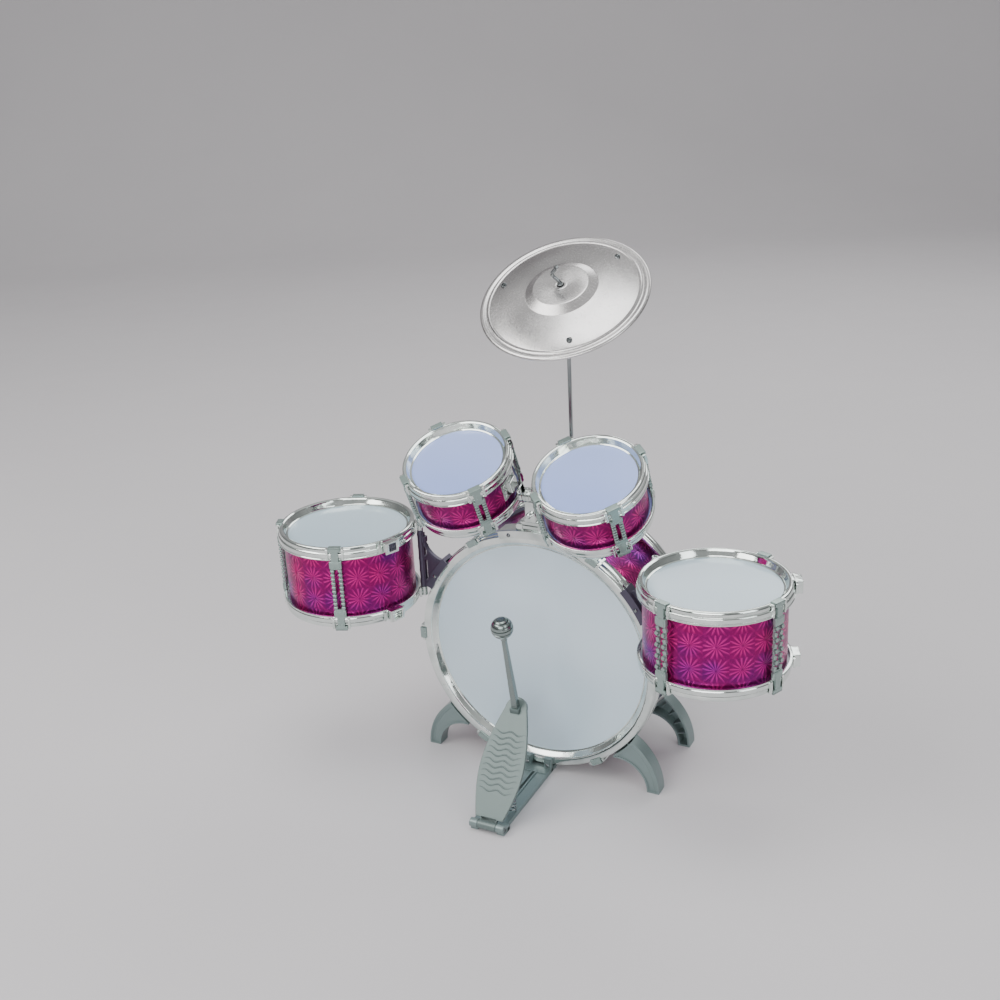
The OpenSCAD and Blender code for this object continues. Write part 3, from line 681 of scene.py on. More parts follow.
for side, sign in SIDES:
    # three lugs a quarter turn apart: the fourth place is the bracket's
    first, skip = (-67.5, 1) if sign < 0 else (-112.5, 3)
    lugs_at = deg(*[first + 90 * i for i in range(4) if i != skip])
    drum(f"side_{side}", f"side_tom_{side}", radius=SIDE_R, head_r=74.5, lugs_at=lugs_at,
         seams=deg(-115, 65), beads=8 if sign > 0 else 10, film_look=TOM_FILM_SHADED, rope=sign > 0,
         extra=partial(accessory, sign))
    drum(f"upper_{side}", f"upper_tom_{side}", radius=UPPER_R, head_r=56, lugs_at=deg(45, 135, 225, 315),
         seams=deg(250, 70), beads=7, film_look=LILAC_FILM)


# ---------------------------------------------------------------- legs
FRONT_Y = corners("bass_front_hoop")[0].y
REAR_Y = corners("bass_rear_hoop")[1].y
BASS_Z = middle("bass_front_head").z
HOOP_TOP = BASS_Z + BASS_R
LEG_DEPTH = 20.0
LEG_OUT_X, LEG_OUT_R = 80.0, 82.0
LEG_IN_X, LEG_IN_R, LEG_ROOT_X = 106.0, 40.0, 102.0


def circle_meet(x0, r0, r1):
    """Where a circle about (x0, 0) meets the bass hoop's circle of radius r1, on the outer side."""
    dx, dz = -x0, BASS_Z
    d = math.hypot(dx, dz)
    a = (r0 * r0 - r1 * r1 + d * d) / (2 * d)
    h = math.sqrt(r0 * r0 - a * a)
    px, pz = x0 + a * dx / d, a * dz / d
    return max((px + h * dz / d, pz - h * dx / d), (px - h * dz / d, pz + h * dx / d))


def leg_outline(inset):
    """The leg seen along Y: outer arc, foot, inner arc, root and the hoop's curve."""
    hoop_r = BASS_R + 0.3 + inset
    out_r, in_r = LEG_OUT_R - inset, LEG_IN_R + inset
    meet_x, meet_z = circle_meet(LEG_OUT_X, out_r, hoop_r)
    a_meet = math.degrees(math.atan2(meet_z, meet_x - LEG_OUT_X))
    points = arc(LEG_OUT_X, 0, out_r, a_meet, math.degrees(math.asin(inset / out_r)), 28)
    root_x = LEG_ROOT_X + inset
    a_in = math.degrees(math.acos((root_x - LEG_IN_X) / in_r))
    points += arc(LEG_IN_X, 0, in_r, math.degrees(math.asin(inset / in_r)), a_in, 24)
    a_root = math.degrees(math.atan2(-math.sqrt(hoop_r ** 2 - root_x ** 2), root_x))
    a_hoop = math.degrees(math.atan2(meet_z - BASS_Z, meet_x))
    return points + arc(0, BASS_Z, hoop_r, a_root, a_hoop, 14)[:-1]


def leg(side, sign, end):
    name = f"leg_{end}_{side}"
    p = Piece(name, "stand", SAGE_LEG, name)
    base = upright(FRONT_Y, 1, sign) if end == "front" else upright(REAR_Y, -1, sign)
    p.plate([leg_outline(0.0), leg_outline(2.4)], 0, LEG_DEPTH, 0.5, base)
    p.plate([leg_outline(1.2)], 1.0, 3.4, 0.3, base)
    rail = arc(LEG_OUT_X, 0, LEG_OUT_R - 6.5, 4, 62, 30)
    p.tube([(x, z, 1.2) for x, z in rail], 0.55, 6, base)
    for a in (14, 26, 38, 50):
        x, z = polar(LEG_OUT_R - 9, a)
        rib = base @ shift(LEG_OUT_X + x, z, 0) @ turned(math.radians(a))
        p.block(-6.8, 6.8, -0.8, 0.8, 2.5, LEG_DEPTH - 3, 0.3, rib, 1)
    foot_x = LEG_OUT_X + LEG_OUT_R - 8
    p.block(foot_x - 7.8, foot_x + 7.8, 0.05, 1.6, 0.4, LEG_DEPTH - 0.4, 0.5, base)
    p.done()


for side, sign in SIDES:
    for end in ("front", "rear"):
        leg(side, sign, end)


# ---------------------------------------------------------------- pedal
PIN = joint_at("pedal_press")
BOARD_T = 4.5
BOARD_W = width("footboard")
HEEL_W, TOE_W, WIDE_AT, BOARD_START = 36.0, 29.0, 68.0, 8.0
TONGUE = 11.0
KNUCKLE_R = 5.5
SHAFT_ROOT = 4.25


def board_tip():
    """The middle of the footboard's farthest edge from the heel pin."""
    points = vertices("footboard")
    reach = [math.hypot(p.y - PIN.y, p.z - PIN.z) for p in points]
    top = max(reach)
    far = [p for p, d in zip(points, reach) if d > top - 0.1]
    return sum(far, Vector()) / len(far)


def extreme(node, highest, count=4):
    """Mean of the highest or lowest vertices of a CAD node."""
    seen = []
    for q in sorted(vertices(node), key=lambda v: v.z)[::-1 if highest else 1]:
        if all((q - s).length > 0.01 for s in seen):
            seen.append(q)
        if len(seen) == count:
            break
    return sum(seen, Vector()) / count


TIP = board_tip()
BOARD_LEN = math.hypot(TIP.z - PIN.z, TIP.y - PIN.y)
on_board = Matrix.Translation(PIN) @ turned(math.atan2(TIP.z - PIN.z, TIP.y - PIN.y), "X")
SHAFT_LOW, SHAFT_TOP = extreme("beater_shaft", False), extreme("beater_shaft", True)
SHAFT_AXIS = (SHAFT_TOP - SHAFT_LOW).normalized()
on_shaft = frame_of(SHAFT_LOW + SHAFT_AXIS * SHAFT_ROOT, SHAFT_AXIS)
SHAFT_LEN = (SHAFT_TOP - SHAFT_LOW).length - SHAFT_ROOT
BALL_R = width("beater_ball") / 2
BALL_UP = SHAFT_LEN + 12.0


def board_half(u):
    """Half the board's width at a distance u from the heel pin."""
    if u < WIDE_AT:
        rise = math.sin(TAU / 4 * (u - BOARD_START) / (WIDE_AT - BOARD_START))
        return (HEEL_W + (BOARD_W - HEEL_W) * rise) / 2
    toe = BOARD_LEN - TOE_W / 2
    return (TOE_W + (BOARD_W - TOE_W) * (1 - ((u - WIDE_AT) / (toe - WIDE_AT)) ** 1.7)) / 2


def footboard():
    p = Piece("pedal_footboard", "pedal", SAGE_BOARD_SHADED, "footboard", on_board)
    toe = BOARD_LEN - TOE_W / 2
    rows = [BOARD_START + (toe - BOARD_START) * i / 26 for i in range(27)]
    right = [(TONGUE, 3.2), (TONGUE, BOARD_START)] + [(board_half(u), u) for u in rows]
    left = [(-x, u) for x, u in reversed(right)]
    face = BOARD_T / 2
    p.plate([right + arc(0, toe, TOE_W / 2, 0, 180, 16)[1:-1] + left], -face, face, 0.9)
    ribs, first, pitch, n = 11, 41.0, 7.1, 30
    thick = [0.35 + 0.85 * min(1, 4 * min(i, n - i) / n) for i in range(n + 1)]
    for u in [first + k * pitch for k in range(ribs)]:
        half = board_half(u) - 2.6
        xs = [-half + 2 * half * i / n for i in range(n + 1)]
        p.tube([(x, u + 1.7 * math.sin(TAU * (x + 4) / 21.0), face - 0.35) for x in xs], thick, 8)
    keel = 12.5
    for x in (-keel, keel):
        p.block(x - 0.9, x + 0.9, 12, BOARD_LEN - 26, -face - 2.6, -face + 0.3, 0.3)
    for u in (30, 58, 86, 114):
        p.block(-keel, keel, u - 0.8, u + 0.8, -face - 1.8, -face + 0.3, 0.3)
    p.lathe(rectangle(BORE_R, KNUCKLE_R, -12, 12, 0.5), 40, ALONG_X)
    p.block(-TONGUE, TONGUE, 2.4, BOARD_START + 2, -face, face, 0.6)
    p.block(-6.2, 6.2, -6.2, 6.2, -1.0, 5.2, 1.0, on_board.inverted() @ on_shaft)
    p.done()


def beater_shaft():
    """A square socket, a tapered square bar and a round collar under the ball."""
    p = Piece("pedal_beater_shaft", "pedal", BEATER, "beater_shaft", on_shaft)
    p.block(-3.95, 3.95, -3.95, 3.95, -4.2, 8.6, 0.5)
    bar = bmesh.new()
    rings = [[bar.verts.new((x * half, y * half, z)) for x, y in ((-1, -1), (1, -1), (1, 1), (-1, 1))]
             for half, z in ((4.0, 8.5), (2.5, SHAFT_LEN))]
    for k in range(4):
        j = (k + 1) % 4
        bar.faces.new((rings[0][k], rings[0][j], rings[1][j], rings[1][k]))
    bar.faces.new(reversed(rings[0]))
    bar.faces.new(rings[1])
    bmesh.ops.bevel(bar, geom=bar.edges[:], offset=0.7, segments=2, profile=0.5, affect="EDGES")
    p.merge(bar)
    low, top = SHAFT_LEN - 6, SHAFT_LEN + 1
    p.lathe(rounded([(0, low), (3.9, low), (4.9, top), (0, top)], 0.5), 32)
    p.done()


def beater_ball():
    """A ball with turned grooves and a flat crown."""
    p = Piece("pedal_beater_ball", "pedal", BEATER, "beater_ball", on_shaft @ shift(0, 0, BALL_UP))
    outline = [(0, -12.2)]
    steps, groove_pitch = 96, 21
    for i in range(steps + 1):
        a = -64 + 130 * i / steps
        groove = max(0.0, 1 - abs(((a + 42) % groove_pitch) - groove_pitch / 2) / 2.6)
        outline.append(polar(BALL_R - 1.5 * groove ** 0.6, a))
    x, z = outline[-1]
    outline += [(x - 0.3, z - 0.5), (x - 0.9, z - 0.5), (x - 1.1, z + 0.3), (0, z + 0.35)]
    p.lathe(outline, 64)
    p.done(24)


def sided(sign, a, b):
    """The span a to b along X, or its mirror image."""
    return (a, b) if sign > 0 else (-b, -a)


def pedal_base():
    """Two rails from the heel's knuckles to the jaws that hold the bass hoop."""
    p = Piece("pedal_base", "stand", SAGE_BASE, "pedal_base")
    heel_y, base_t = PIN.y + 7, 6.0
    across = shift(0, PIN.y, PIN.z) @ ALONG_X
    for s in (-1, 1):
        x0, x1 = sided(s, 1.5, 19.0)
        p.block(x0, x1, heel_y, FRONT_Y - 18, 0, base_t - 1.6, 0.6)
        for a, b in ((x0, x0 + 2.6), (x1 - 2.6, x1)):
            p.block(a, b, heel_y, FRONT_Y - 10, base_t - 2.2, base_t, 0.6)
        x0, x1 = sided(s, 12.4, 22.5)
        p.block(x0, x1, PIN.y - 1.5, PIN.y + 14, 0, PIN.z, 0.6)
        p.lathe(rectangle(BORE_R, KNUCKLE_R, x0, x1, 0.6), 40, across)
        x0, x1 = sided(s, 9.0, 19.0)
        p.block(x0, x1, FRONT_Y - 7, FRONT_Y - 0.3, 0, 20, 1.0)
        p.block(x0 + 2, x1 - 2, FRONT_Y - 8.2, FRONT_Y - 6, 3, 17, 0.8)
        p.block(x0, x1, FRONT_Y + 20.3, FRONT_Y + 24, 0, 12, 0.8)
    p.block(-22.5, 22.5, heel_y, PIN.y + 15, 0, base_t, 0.8)
    p.block(-19, 19, FRONT_Y - 18, FRONT_Y + 24, 0, 5.6, 0.8)
    p.done()


def heel_pin():
    p = Piece("pedal_heel_pin", "stand", STEEL, "heel_pin")
    across = shift(0, PIN.y, PIN.z) @ ALONG_X
    head = [(0, 20.6), (1.2, 20.6), (1.2, 22.9), (PIN_R, 22.9), (PIN_R, 12), (0, 12)]
    for end in (across @ turned(TAU / 2, "X"), across):
        p.lathe(rounded(head, 0.15), 24, end)
    p.lathe(rectangle(0, PIN_R, -12.2, 12.2), 24, across)
    p.done()


def spring():
    low, high = corners("pedal_spring")
    wire, turns = 0.8, 7
    r, tall = (high.x - low.x) / 2 - wire, high.z - low.z - 2 * wire
    c = (low + high) / 2
    p = Piece("pedal_spring_coil", "stand", STEEL, "pedal_spring", shift(c.x, c.y, low.z))
    steps = 28 * turns
    path = []
    for i in range(steps + 1):
        a = TAU * turns * (i / steps)
        path.append((r * math.cos(a), r * math.sin(a), wire + tall * (i / steps)))
    p.tube(path, wire, 8)
    o = p.done()
    o.modifiers.clear()
    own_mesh(o)


footboard()
beater_shaft()
beater_ball()
pedal_base()
heel_pin()
spring()


# ---------------------------------------------------------------- side tom brackets
SADDLE_T = 5.0
BARREL_HALF = 38.6
HINGE_HALF = 53.0


def saddle(p, a0, a1, y0, y1, lip_y0, lip_y1):
    """A band over the bass hoop between two angles from +X towards +Z, with a lip over its end face."""
    around_y = shift(0, 0, BASS_Z) @ turned(TAU / 4, "X")
    band = rectangle(BASS_R + 0.1, BASS_R + SADDLE_T, -y1, -y0, 0.6)
    lip = rectangle(BASS_R - 5, BASS_R + SADDLE_T - 0.3, -lip_y1, -lip_y0, 0.5)
    for outline in (band, lip):
        p.lathe(outline, 24, around_y, math.radians(a0), math.radians(a1))


def bracket(side, sign, hinge):
    """A slotted plate from the bass hoop to the hinge barrel, cut by a round notch, and its saddle."""
    hinge_x = abs(hinge.x)
    low, top = hinge.z - BARREL_HALF, hinge.z + BARREL_HALF
    mirror = Matrix.Scale(sign, 4, (1, 0, 0))
    barrel = mirror @ shift(hinge_x, hinge.y, 0)
    p = Piece(f"bracket_{side}", "stand", DARK, f"side_{side}_bracket")
    p.lathe(rectangle(BORE_R, 4.0, low, top, 0.5), 32, barrel)
    for z in [low + 6 + k * (top - low - 12) / 4 for k in range(5)]:
        p.lathe(rectangle(3.9, 4.3, z - 1.4, z + 1.4, 0.15), 32, barrel)
    z0, z1 = low + 3, top - 3
    tip_angle, hoop_r = 39, BASS_R + 0.1
    tip_x, tip_z = polar(BASS_R, tip_angle)
    notch_x, notch_z, notch_r = tip_x - 5, BASS_Z + tip_z + 35, 32.0
    a_low = math.degrees(math.asin((z0 - BASS_Z) / hoop_r))
    n0 = math.degrees(math.asin((tip_x - notch_x) / notch_r)) - 90
    n1 = math.degrees(math.asin((z1 - notch_z) / notch_r))
    outline = [(hinge_x - 2, z0)] + arc(0, BASS_Z, hoop_r, a_low, tip_angle, 10)
    outline += arc(notch_x, notch_z, notch_r, n0, n1, 18) + [(hinge_x - 2, z1)]
    slots = [rectangle(hinge_x - 8.6, hinge_x - 5.2, a, b, 1.2)
             for a, b in ((low + 10, low + 38), (low + 43, low + 58), (low + 62, low + 70))]
    side_on = mirror @ upright(hinge.y)
    p.plate([outline] + slots, -3, 3, 0.6, side_on)
    edge = arc(notch_x, notch_z, notch_r + 1.6, n0 + 3, n1 - 3, 18)
    for y in (-3.0, 3.0):
        p.tube([(x, z, y) for x, z in edge], 0.7, 6, side_on)
    a0, a1 = (25, 42) if sign > 0 else (138, 155)
    saddle(p, a0, a1, FRONT_Y, FRONT_Y + 17, FRONT_Y - 2.5, FRONT_Y - 0.1)
    p.done()


def bracket_pin(side, hinge):
    p = Piece(f"bracket_pin_{side}", "stand", STEEL, f"side_{side}_pin", Matrix.Translation(hinge))
    p.lathe(rectangle(0, PIN_R, -51.8, 51.8, [0, 0.5, 0.5, 0]), 24)
    p.done()


def side_clips(side, hinge):
    """The tom's two arms to the hinge, each with a bored end and two screws."""
    p = Piece(f"side_clips_{side}", f"side_tom_{side}", FITTING, f"side_{side}_clips")
    centre = middle(f"side_{side}_top_head")
    toward = math.atan2(hinge.y - centre.y, hinge.x - centre.x)
    arm = math.hypot(hinge.y - centre.y, hinge.x - centre.x)
    for z in (hinge.z + HINGE_HALF - 14, hinge.z - HINGE_HALF + 2):
        at = shift(centre.x, centre.y, z) @ turned(toward)
        p.lathe(rectangle(BORE_R, 4.2, 0, 12, 0.5), 32, at @ shift(arm, 0, 0))
        p.block(SIDE_R - 0.4, arm - 2.4, -3.6, 3.6, 0.3, 11.7, 0.5, at)
        p.block(SIDE_R - 1, SIDE_R + 2, -9, 9, 0, 12, 0.6, at)
        for y in (-6.4, 6.4):
            p.screw(at @ Vector((SIDE_R + 1.8, y, 6)), at.to_3x3() @ Vector((1, 0, 0)), 1.8, 1.0)
    p.done()


for side, sign in SIDES:
    hinge = joint_at(f"side_tom_{side}_swing")
    bracket(side, sign, hinge)
    bracket_pin(side, hinge)
    side_clips(side, hinge)


# ---------------------------------------------------------------- tom holder and mounts
TILT = joint_at("upper_tom_left_tilt")
POST_W = 16.0
TILT_GAP = 0.4
EAR_T = 5.0


def holder_clamp():
    p = Piece("tom_holder_clamp", "stand", FITTING, "tom_holder_base")
    saddle(p, 75, 105, FRONT_Y, FRONT_Y + 22, FRONT_Y - 2.5, FRONT_Y - 0.1)
    p.block(-20, 20, FRONT_Y + 2, FRONT_Y + 19, HOOP_TOP + 0.5, HOOP_TOP + 11, 1.4)
    for x in (-14, 14):
        p.block(x - 4, x + 4, FRONT_Y + 1, FRONT_Y + 20, HOOP_TOP + 2, HOOP_TOP + 12.4, 1.0)
        p.screw((x, FRONT_Y + 10, HOOP_TOP + 12.3), (0, 0, 1), 2.6, 1.6)
    p.done()


def holder_post():
    """A waisted post with a ribbed barrel for the tilt pin, and a wing screw on the player's side."""
    p = Piece("tom_holder_post", "stand", FITTING, "tom_holder_post")
    foot, half = HOOP_TOP + 11, POST_W / 2
    waist = half - 1.6
    p.block(-half - 5, half + 5, TILT.y - 6, TILT.y + 9, foot, foot + 5, 1.0)
    right = [(half, foot + 4), (waist, foot + 12), (waist, TILT.z - 10), (half, TILT.z - 5),
             (half, TILT.z + 2)]
    left = [(-x, z) for x, z in reversed(right)]
    outline = left[-1:] + right + left[:-1]
    p.plate([rounded(outline, 1.5)], -6, 6, 0.8, upright(TILT.y))
    across = Matrix.Translation(TILT) @ ALONG_X
    p.lathe(rectangle(TILT_BORE_R, EAR_R, -half, half, 0.7), 56, across)
    for x in (-4.5, 0, 4.5):
        p.lathe(rectangle(8.8, 9.5, x - 1, x + 1, 0.3), 56, across)
    boss = frame_of((0, TILT.y - 6, foot + 14), (0, -1, 0))
    p.lathe(rounded([(0, 0), (3.6, 0), (3.2, 5), (2.2, 6.5), (0, 6.5)], 0.4), 32, boss)
    for s in (-1, 1):
        wing = boss @ turned(0.5) @ shift(s * 5.5, 0, 5.0) @ turned(s * 0.35, "Y")
        p.block(-3.6, 3.6, -0.9, 0.9, -2.6, 3.0, 0.8, wing)
    p.done()


def tilt_pin():
    """The pin through the post and both toms' ears, with a six-sided head at each end."""
    p = Piece("tilt_pin", "stand", STEEL, "tilt_pin", Matrix.Translation(TILT))
    end = POST_W / 2 + TILT_GAP + EAR_T + TILT_GAP
    p.lathe(rectangle(0, 2.95, -end, end), 32, ALONG_X)
    head = rounded([(0, 0), (5, 0), (5, 1.2), (4, 2), (0, 2)], 0.3)
    for s in (-1, 1):
        p.lathe(head, 6, ALONG_X @ shift(0, 0, s * end) @ Matrix.Scale(s, 4, (0, 0, 1)))
    p.done()


def mount(side, sign):
    """A curved pad on the shell with four screws, and an arm to a toothed ear on the tilt pin."""
    at, _ = drum_frame(f"upper_{side}")
    p = Piece(f"upper_mount_{side}", f"upper_tom_{side}", FITTING, f"upper_{side}_mount", at)
    local = at.inverted() @ TILT
    y, z = local.y, local.z
    flip = Matrix.Scale(-sign, 4, (1, 0, 0))
    ear_x = abs(local.x) - POST_W / 2 - TILT_GAP
    seat_r = UPPER_R - HOOP_WALL - TOM_GAP
    pad_r = seat_r + 3
    spread = math.asin(16 / seat_r)
    p.lathe(rectangle(seat_r + 0.15, pad_r, -48, -22, 0.6), 24, flip, -spread, spread)
    p.block(seat_r + 1.5, ear_x, y - 5, y + 5, z + 6, z + 17, 1.4, flip)
    p.block(seat_r + 1.5, seat_r + 6.5, y - 8, y + 8, z + 8, z + 25, 1.4, flip)
    p.block(ear_x - EAR_T, ear_x, y - 5, y + 5, z + 2, z + 17, 0.9, flip)
    ear = flip @ shift(ear_x, y, z) @ ALONG_X
    p.lathe(rectangle(TILT_BORE_R, EAR_R, -EAR_T, 0, 0.7), 56, ear)
    teeth = 12
    for k in range(teeth):
        p.block(5.4, 8.4, -0.7, 0.7, -5.5, -4.6, 0.2, ear @ turned(k * TAU / teeth), 1)
    for screw_z in (-28, -43):
        for screw_y in (-11.5, 12.5):
            a = math.asin(screw_y / pad_r)
            out = Vector((math.cos(a), math.sin(a), 0))
            spot = Vector(((pad_r - 0.1) * out.x, (pad_r - 0.1) * out.y, screw_z))
            p.screw(flip @ spot, flip.to_3x3() @ out, 2.2, 1.2)
    p.done()


holder_clamp()
holder_post()
tilt_pin()
for side, sign in SIDES:
    mount(side, sign)


# ---------------------------------------------------------------- cymbal
SPIN_CENTRE = joint_at("cymbal_spin")
SPIN_AXIS = JOINTS["cymbal_spin"]["axis"]
CYMBAL_AT = frame_of(SPIN_CENTRE, SPIN_AXIS)
CYMBAL_R = width("cymbal") / 2
ROD_Y = joint_at("rod_turn").y
ROD_R = 2.5
BELL_H = 20.0
SHEET = 1.2


def cymbal():
    """A flat-topped bell, a shallow bow and two raised rings near the edge."""
    p = Piece("cymbal_plate", "cymbal", CYMBAL, "cymbal", CYMBAL_AT)
    r = CYMBAL_R
    bell = [(4.5, -0.2), (5.2, 0.35), (8.4, 0.35), (9.2, -0.1), (20, 0), (33.2, 0), (34.6, -0.7)]
    bow = [(44.4, 13.6), (46, 12.9), (54, 11.8), (62, 10.2), (70, 8.6), (78, 6.6), (86, 4.4)]
    edge = [(14.4, 2.9), (13.4, 2.5), (12.4, 3.1), (11.4, 3.1), (10.4, 2.2), (9, 1.25), (7.4, 1.2), (6, 2.0),
            (4.4, 2.4), (2.6, 2.1), (1, 1.2), (0.2, 0.2), (0, -1)]
    top = [(x, BELL_H + z) for x, z in bell] + bow + [(r - inset, z) for inset, z in edge]
    low = [(x - (1 if x > r - 3 else 0), z - SHEET) for x, z in reversed(top)]
    p.lathe(top + low, 192)
    p.done(40)


def rivets():
    p = Piece("cymbal_rivets", "cymbal", STEEL, "cymbal_rivets", CYMBAL_AT)
    head = [(0, 2.0), (0.9, 1.9), (1.3, 1.3), (1.4, 0.2), (2.2, 0.2), (2.4, 1.5), (2.9, 1.9), (3.5, 1.4),
            (3.7, 0.2), (3.7, -0.6), (0, -0.6)]
    for a in deg(55, 175, 295):
        p.lathe(head, 32, turned(a) @ shift(0.78 * CYMBAL_R, 0, 5.6))
    p.done()


def rod():
    """The upright rod, bent at the top to follow the cymbal's axis."""
    p = Piece("cymbal_rod", "cymbal_stand", STEEL, "cymbal_rod")
    axis = Vector(SPIN_AXIS).normalized()
    bend = SPIN_CENTRE - axis * 16
    before, after = Vector((0, ROD_Y, bend.z - 6)), bend + axis * 6
    path = [Vector((0, ROD_Y, corners("cymbal_rod")[0].z)), before]
    for t in [k / 9 for k in range(1, 9)]:
        path.append(before * (1 - t) ** 2 + bend * 2 * t * (1 - t) + after * t * t)
    path += [after, SPIN_CENTRE + axis * (BELL_H + 3.2)]
    p.tube(path, ROD_R, 24)
    p.done()


def hook():
    """The bowed handle over the bell, with a rounded end and a collar at its foot."""
    p = Piece("cymbal_hook", "cymbal_stand", STEEL, "rod_hook", CYMBAL_AT @ shift(0, 0, BELL_H + 3))
    steps, tall, swing = 40, 25.0, 7.0
    path = [(-swing * math.sin(TAU / 2 * i / steps) ** 2 + 2 * (i / steps) ** 2, 0, tall * i / steps)
            for i in range(steps + 1)]
    p.tube(path, [ROD_R + 0.1 if i < 2 else 2.4 for i in range(steps + 1)], 20)
    knob = [(0, -2), (2.2, -1.7), (2.9, -0.7), (2.9, 0.7), (2.2, 1.7), (0, 2)]
    p.lathe(knob, 24, shift(path[-1][0], 0, tall - 0.6))
    p.lathe(rectangle(0, 3.6, -2.6, -0.4, 0.4), 32)
    p.done()


def washer():
    p = Piece("cymbal_washer", "cymbal_stand", RUBBER, "cymbal_washer", CYMBAL_AT)
    top = BELL_H - SHEET - 0.4
    p.lathe(rectangle(ROD_R + 0.05, 7, top - 4, top, 0.8), 40)
    p.done()


def socket():
    """A saddle on the rear hoop with a bored boss for the rod, and a wing screw on its side."""
    p = Piece("cymbal_socket", "stand", FITTING, "cymbal_socket")
    saddle(p, 80, 100, REAR_Y - BASS_BAND, REAR_Y, REAR_Y + 0.1, REAR_Y + 2.5)
    bore = ROD_R + 0.1
    outline = [(bore, 4), (bore, 26), (8, 26), (8, 7), (12, 7), (12, 0), (0, 0), (0, 4)]
    p.lathe(rounded(outline, [0, 0.3, 1.2, 0.8, 1.0, 0, 0, 0]), 48, shift(0, ROD_Y, HOOP_TOP + 1))
    boss = frame_of((8, ROD_Y, HOOP_TOP + 18), (1, 0, 0), (0, 1, 0))
    p.lathe(rounded([(0, -2), (3.2, -2), (3.0, 4), (2.2, 5), (0, 5)], 0.3), 24, boss)
    for s in (-1, 1):
        wing = boss @ turned(0.7) @ shift(s * 4.6, 0, 4.4)
        p.block(-3, 3, -0.8, 0.8, -1.6, 2.6, 0.7, wing)
    p.done()


def screws():
    """The screws through the saddles' lips and the pedal's jaws."""
    p = Piece("clamp_screws", "stand", STEEL, "clamp_screws")
    for angles, y, way in (((80, 100, 32, 148), FRONT_Y - 2.5, -1), ((85, 95), REAR_Y + 2.5, 1)):
        for a in angles:
            x, z = polar(BASS_R - 1, a)
            p.screw((x, y, BASS_Z + z), (0, way, 0), 2.5, 1.8)
    for x in (-14, 14):
        p.screw((x, FRONT_Y - 8.1, 11), (0, -1, 0), 2.6, 1.6)
    p.done()


cymbal()
rivets()
rod()
hook()
washer()
socket()
screws()


# ---------------------------------------------------------------- stage, camera and light
VIEW_AZIMUTH, VIEW_ELEVATION, VIEW_ROLL = deg(27.6, 21.6, -3.0)
CAMERA_AT = (0.6406, -1.3268, 0.9458)


def stage():
    """A plain floor that curves up into a back wall, square to the view; lengths in metres."""
    depth, rise, bend, half, steps = 5.0, 4.5, 1.6, 6.0, 16
    profile = [(-depth, 0.0), (depth - bend, 0.0)]
    for a in [TAU / 4 * k / steps for k in range(1, steps + 1)]:
        profile.append((depth - bend + bend * math.sin(a), bend - bend * math.cos(a)))
    profile.append((depth, rise))
    sheet = bmesh.new()
    left, right = ([sheet.verts.new((x, y, z)) for y, z in profile] for x in (-half, half))
    for i in range(len(profile) - 1):
        sheet.faces.new((left[i], right[i], right[i + 1], left[i + 1]))
    mesh = bpy.data.meshes.new("studio_floor")
    sheet.to_mesh(mesh)
    sheet.free()
    mesh.shade_smooth()
    floor = new_object("studio_floor", mesh)
    floor.rotation_euler.z = VIEW_AZIMUTH
    n = Nodes("studio_floor")
    n.set(Base_Color=n.blend(n.noise(2.0, 3), "c9c6c9", "cfccce"),
          Roughness=n.span(n.noise(12, 4), 0.3, 0.7, 0.55, 0.7), Specular_IOR_Level=0.25)
    mesh.materials.append(n.mat)


def area_light(name, position, width_m, height_m, watts, colour=(1.0, 1.0, 1.0)):
    light = bpy.data.lights.new(name, "AREA")
    light.shape = "RECTANGLE"
    light.size, light.size_y = width_m, height_m
    light.energy = watts
    light.color = colour
    o = new_object(name, light)
    o.location = position
    o.rotation_euler = (Vector((0, 0, 0.3)) - Vector(position)).to_track_quat("-Z", "Y").to_euler()


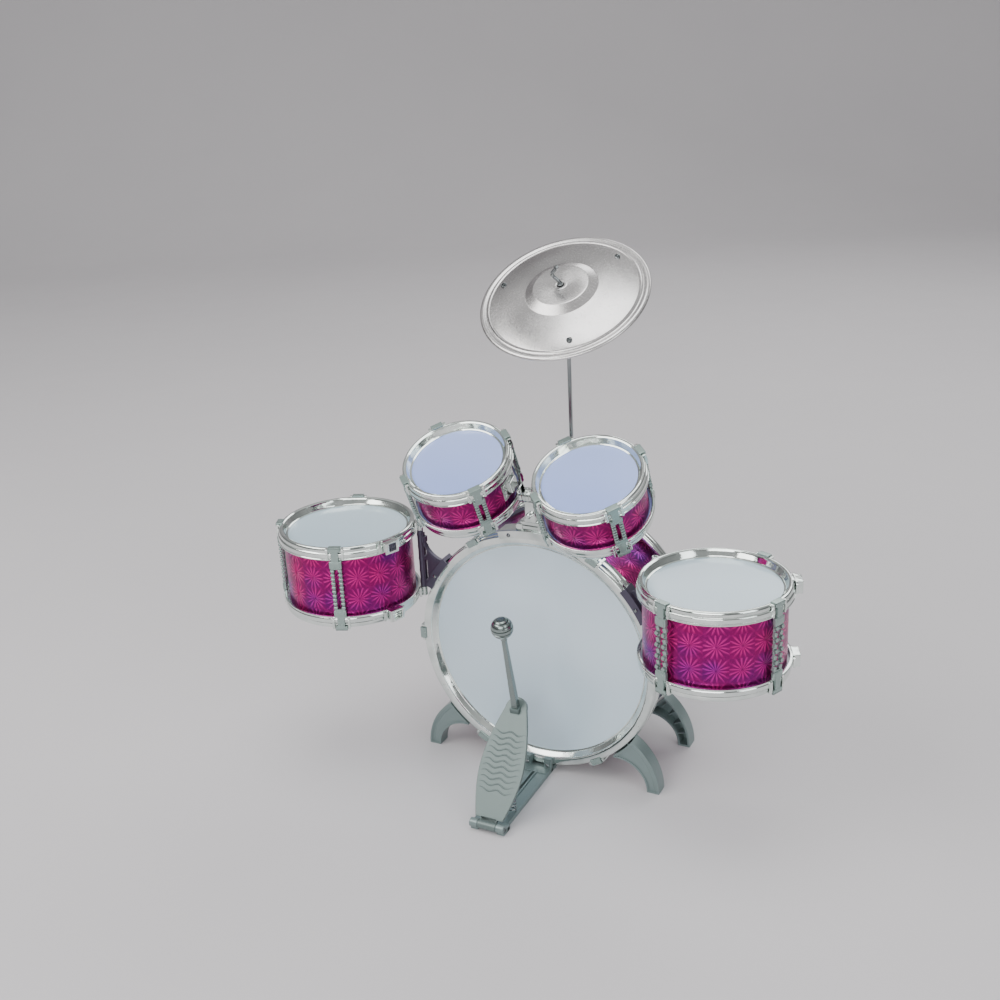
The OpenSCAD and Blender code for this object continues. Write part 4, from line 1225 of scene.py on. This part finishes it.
def studio_light():
    area_light("key", (-1.7, -1.8, 2.6), 2.6, 1.8, 70, (1.0, 0.985, 0.97))
    area_light("front", (0.7, -3.4, 1.5), 2.6, 1.6, 62)
    area_light("fill", (2.8, -1.2, 1.5), 1.2, 2.2, 26, (0.96, 0.98, 1.0))
    area_light("back", (0.4, 2.6, 2.2), 3.0, 1.0, 34)
    area_light("top", (0.0, -0.1, 2.8), 1.4, 1.4, 24)


def studio_world():
    """A soft grey world, brighter towards the top."""
    world = bpy.data.worlds.new("studio")
    world.use_nodes = True
    bpy.context.scene.world = world
    tree = world.node_tree
    coord = tree.nodes.new("ShaderNodeTexCoord")
    split = tree.nodes.new("ShaderNodeSeparateXYZ")
    ramp = tree.nodes.new("ShaderNodeValToRGB")
    tree.links.new(coord.outputs["Generated"], split.inputs[0])
    tree.links.new(split.outputs[2], ramp.inputs[0])
    stops = ramp.color_ramp.elements
    stops[0].position, stops[1].position = 0.0, 1.0
    stops[0].color = (0.24, 0.24, 0.24 * 1.01, 1)
    stops[1].color = (0.9, 0.9, 0.9, 1)
    for height, level in ((0.3, 0.28), (0.65, 0.55)):
        stops.new(height).color = (level, level, level * 1.01, 1)
    background = tree.nodes["Background"]
    tree.links.new(ramp.outputs[0], background.inputs["Color"])
    background.inputs["Strength"].default_value = 0.85


def camera():
    """The photograph's viewing angle, with a slight roll."""
    data = bpy.data.cameras.new("camera")
    data.sensor_width = 36
    data.lens = 47.3
    o = new_object("camera", data)
    level = math.cos(VIEW_ELEVATION)
    right = Vector((math.cos(VIEW_AZIMUTH), math.sin(VIEW_AZIMUTH), 0))
    forward = Vector((-right.y * level, right.x * level, -math.sin(VIEW_ELEVATION)))
    up = right.cross(forward)
    c, s = math.cos(VIEW_ROLL), math.sin(VIEW_ROLL)
    m = Matrix((right * c + up * s, up * c - right * s, -forward)).transposed().to_4x4()
    m.translation = Vector(CAMERA_AT)
    o.matrix_world = m
    bpy.context.scene.camera = o


stage()
studio_light()
studio_world()
camera()
bpy.context.view_layer.update()
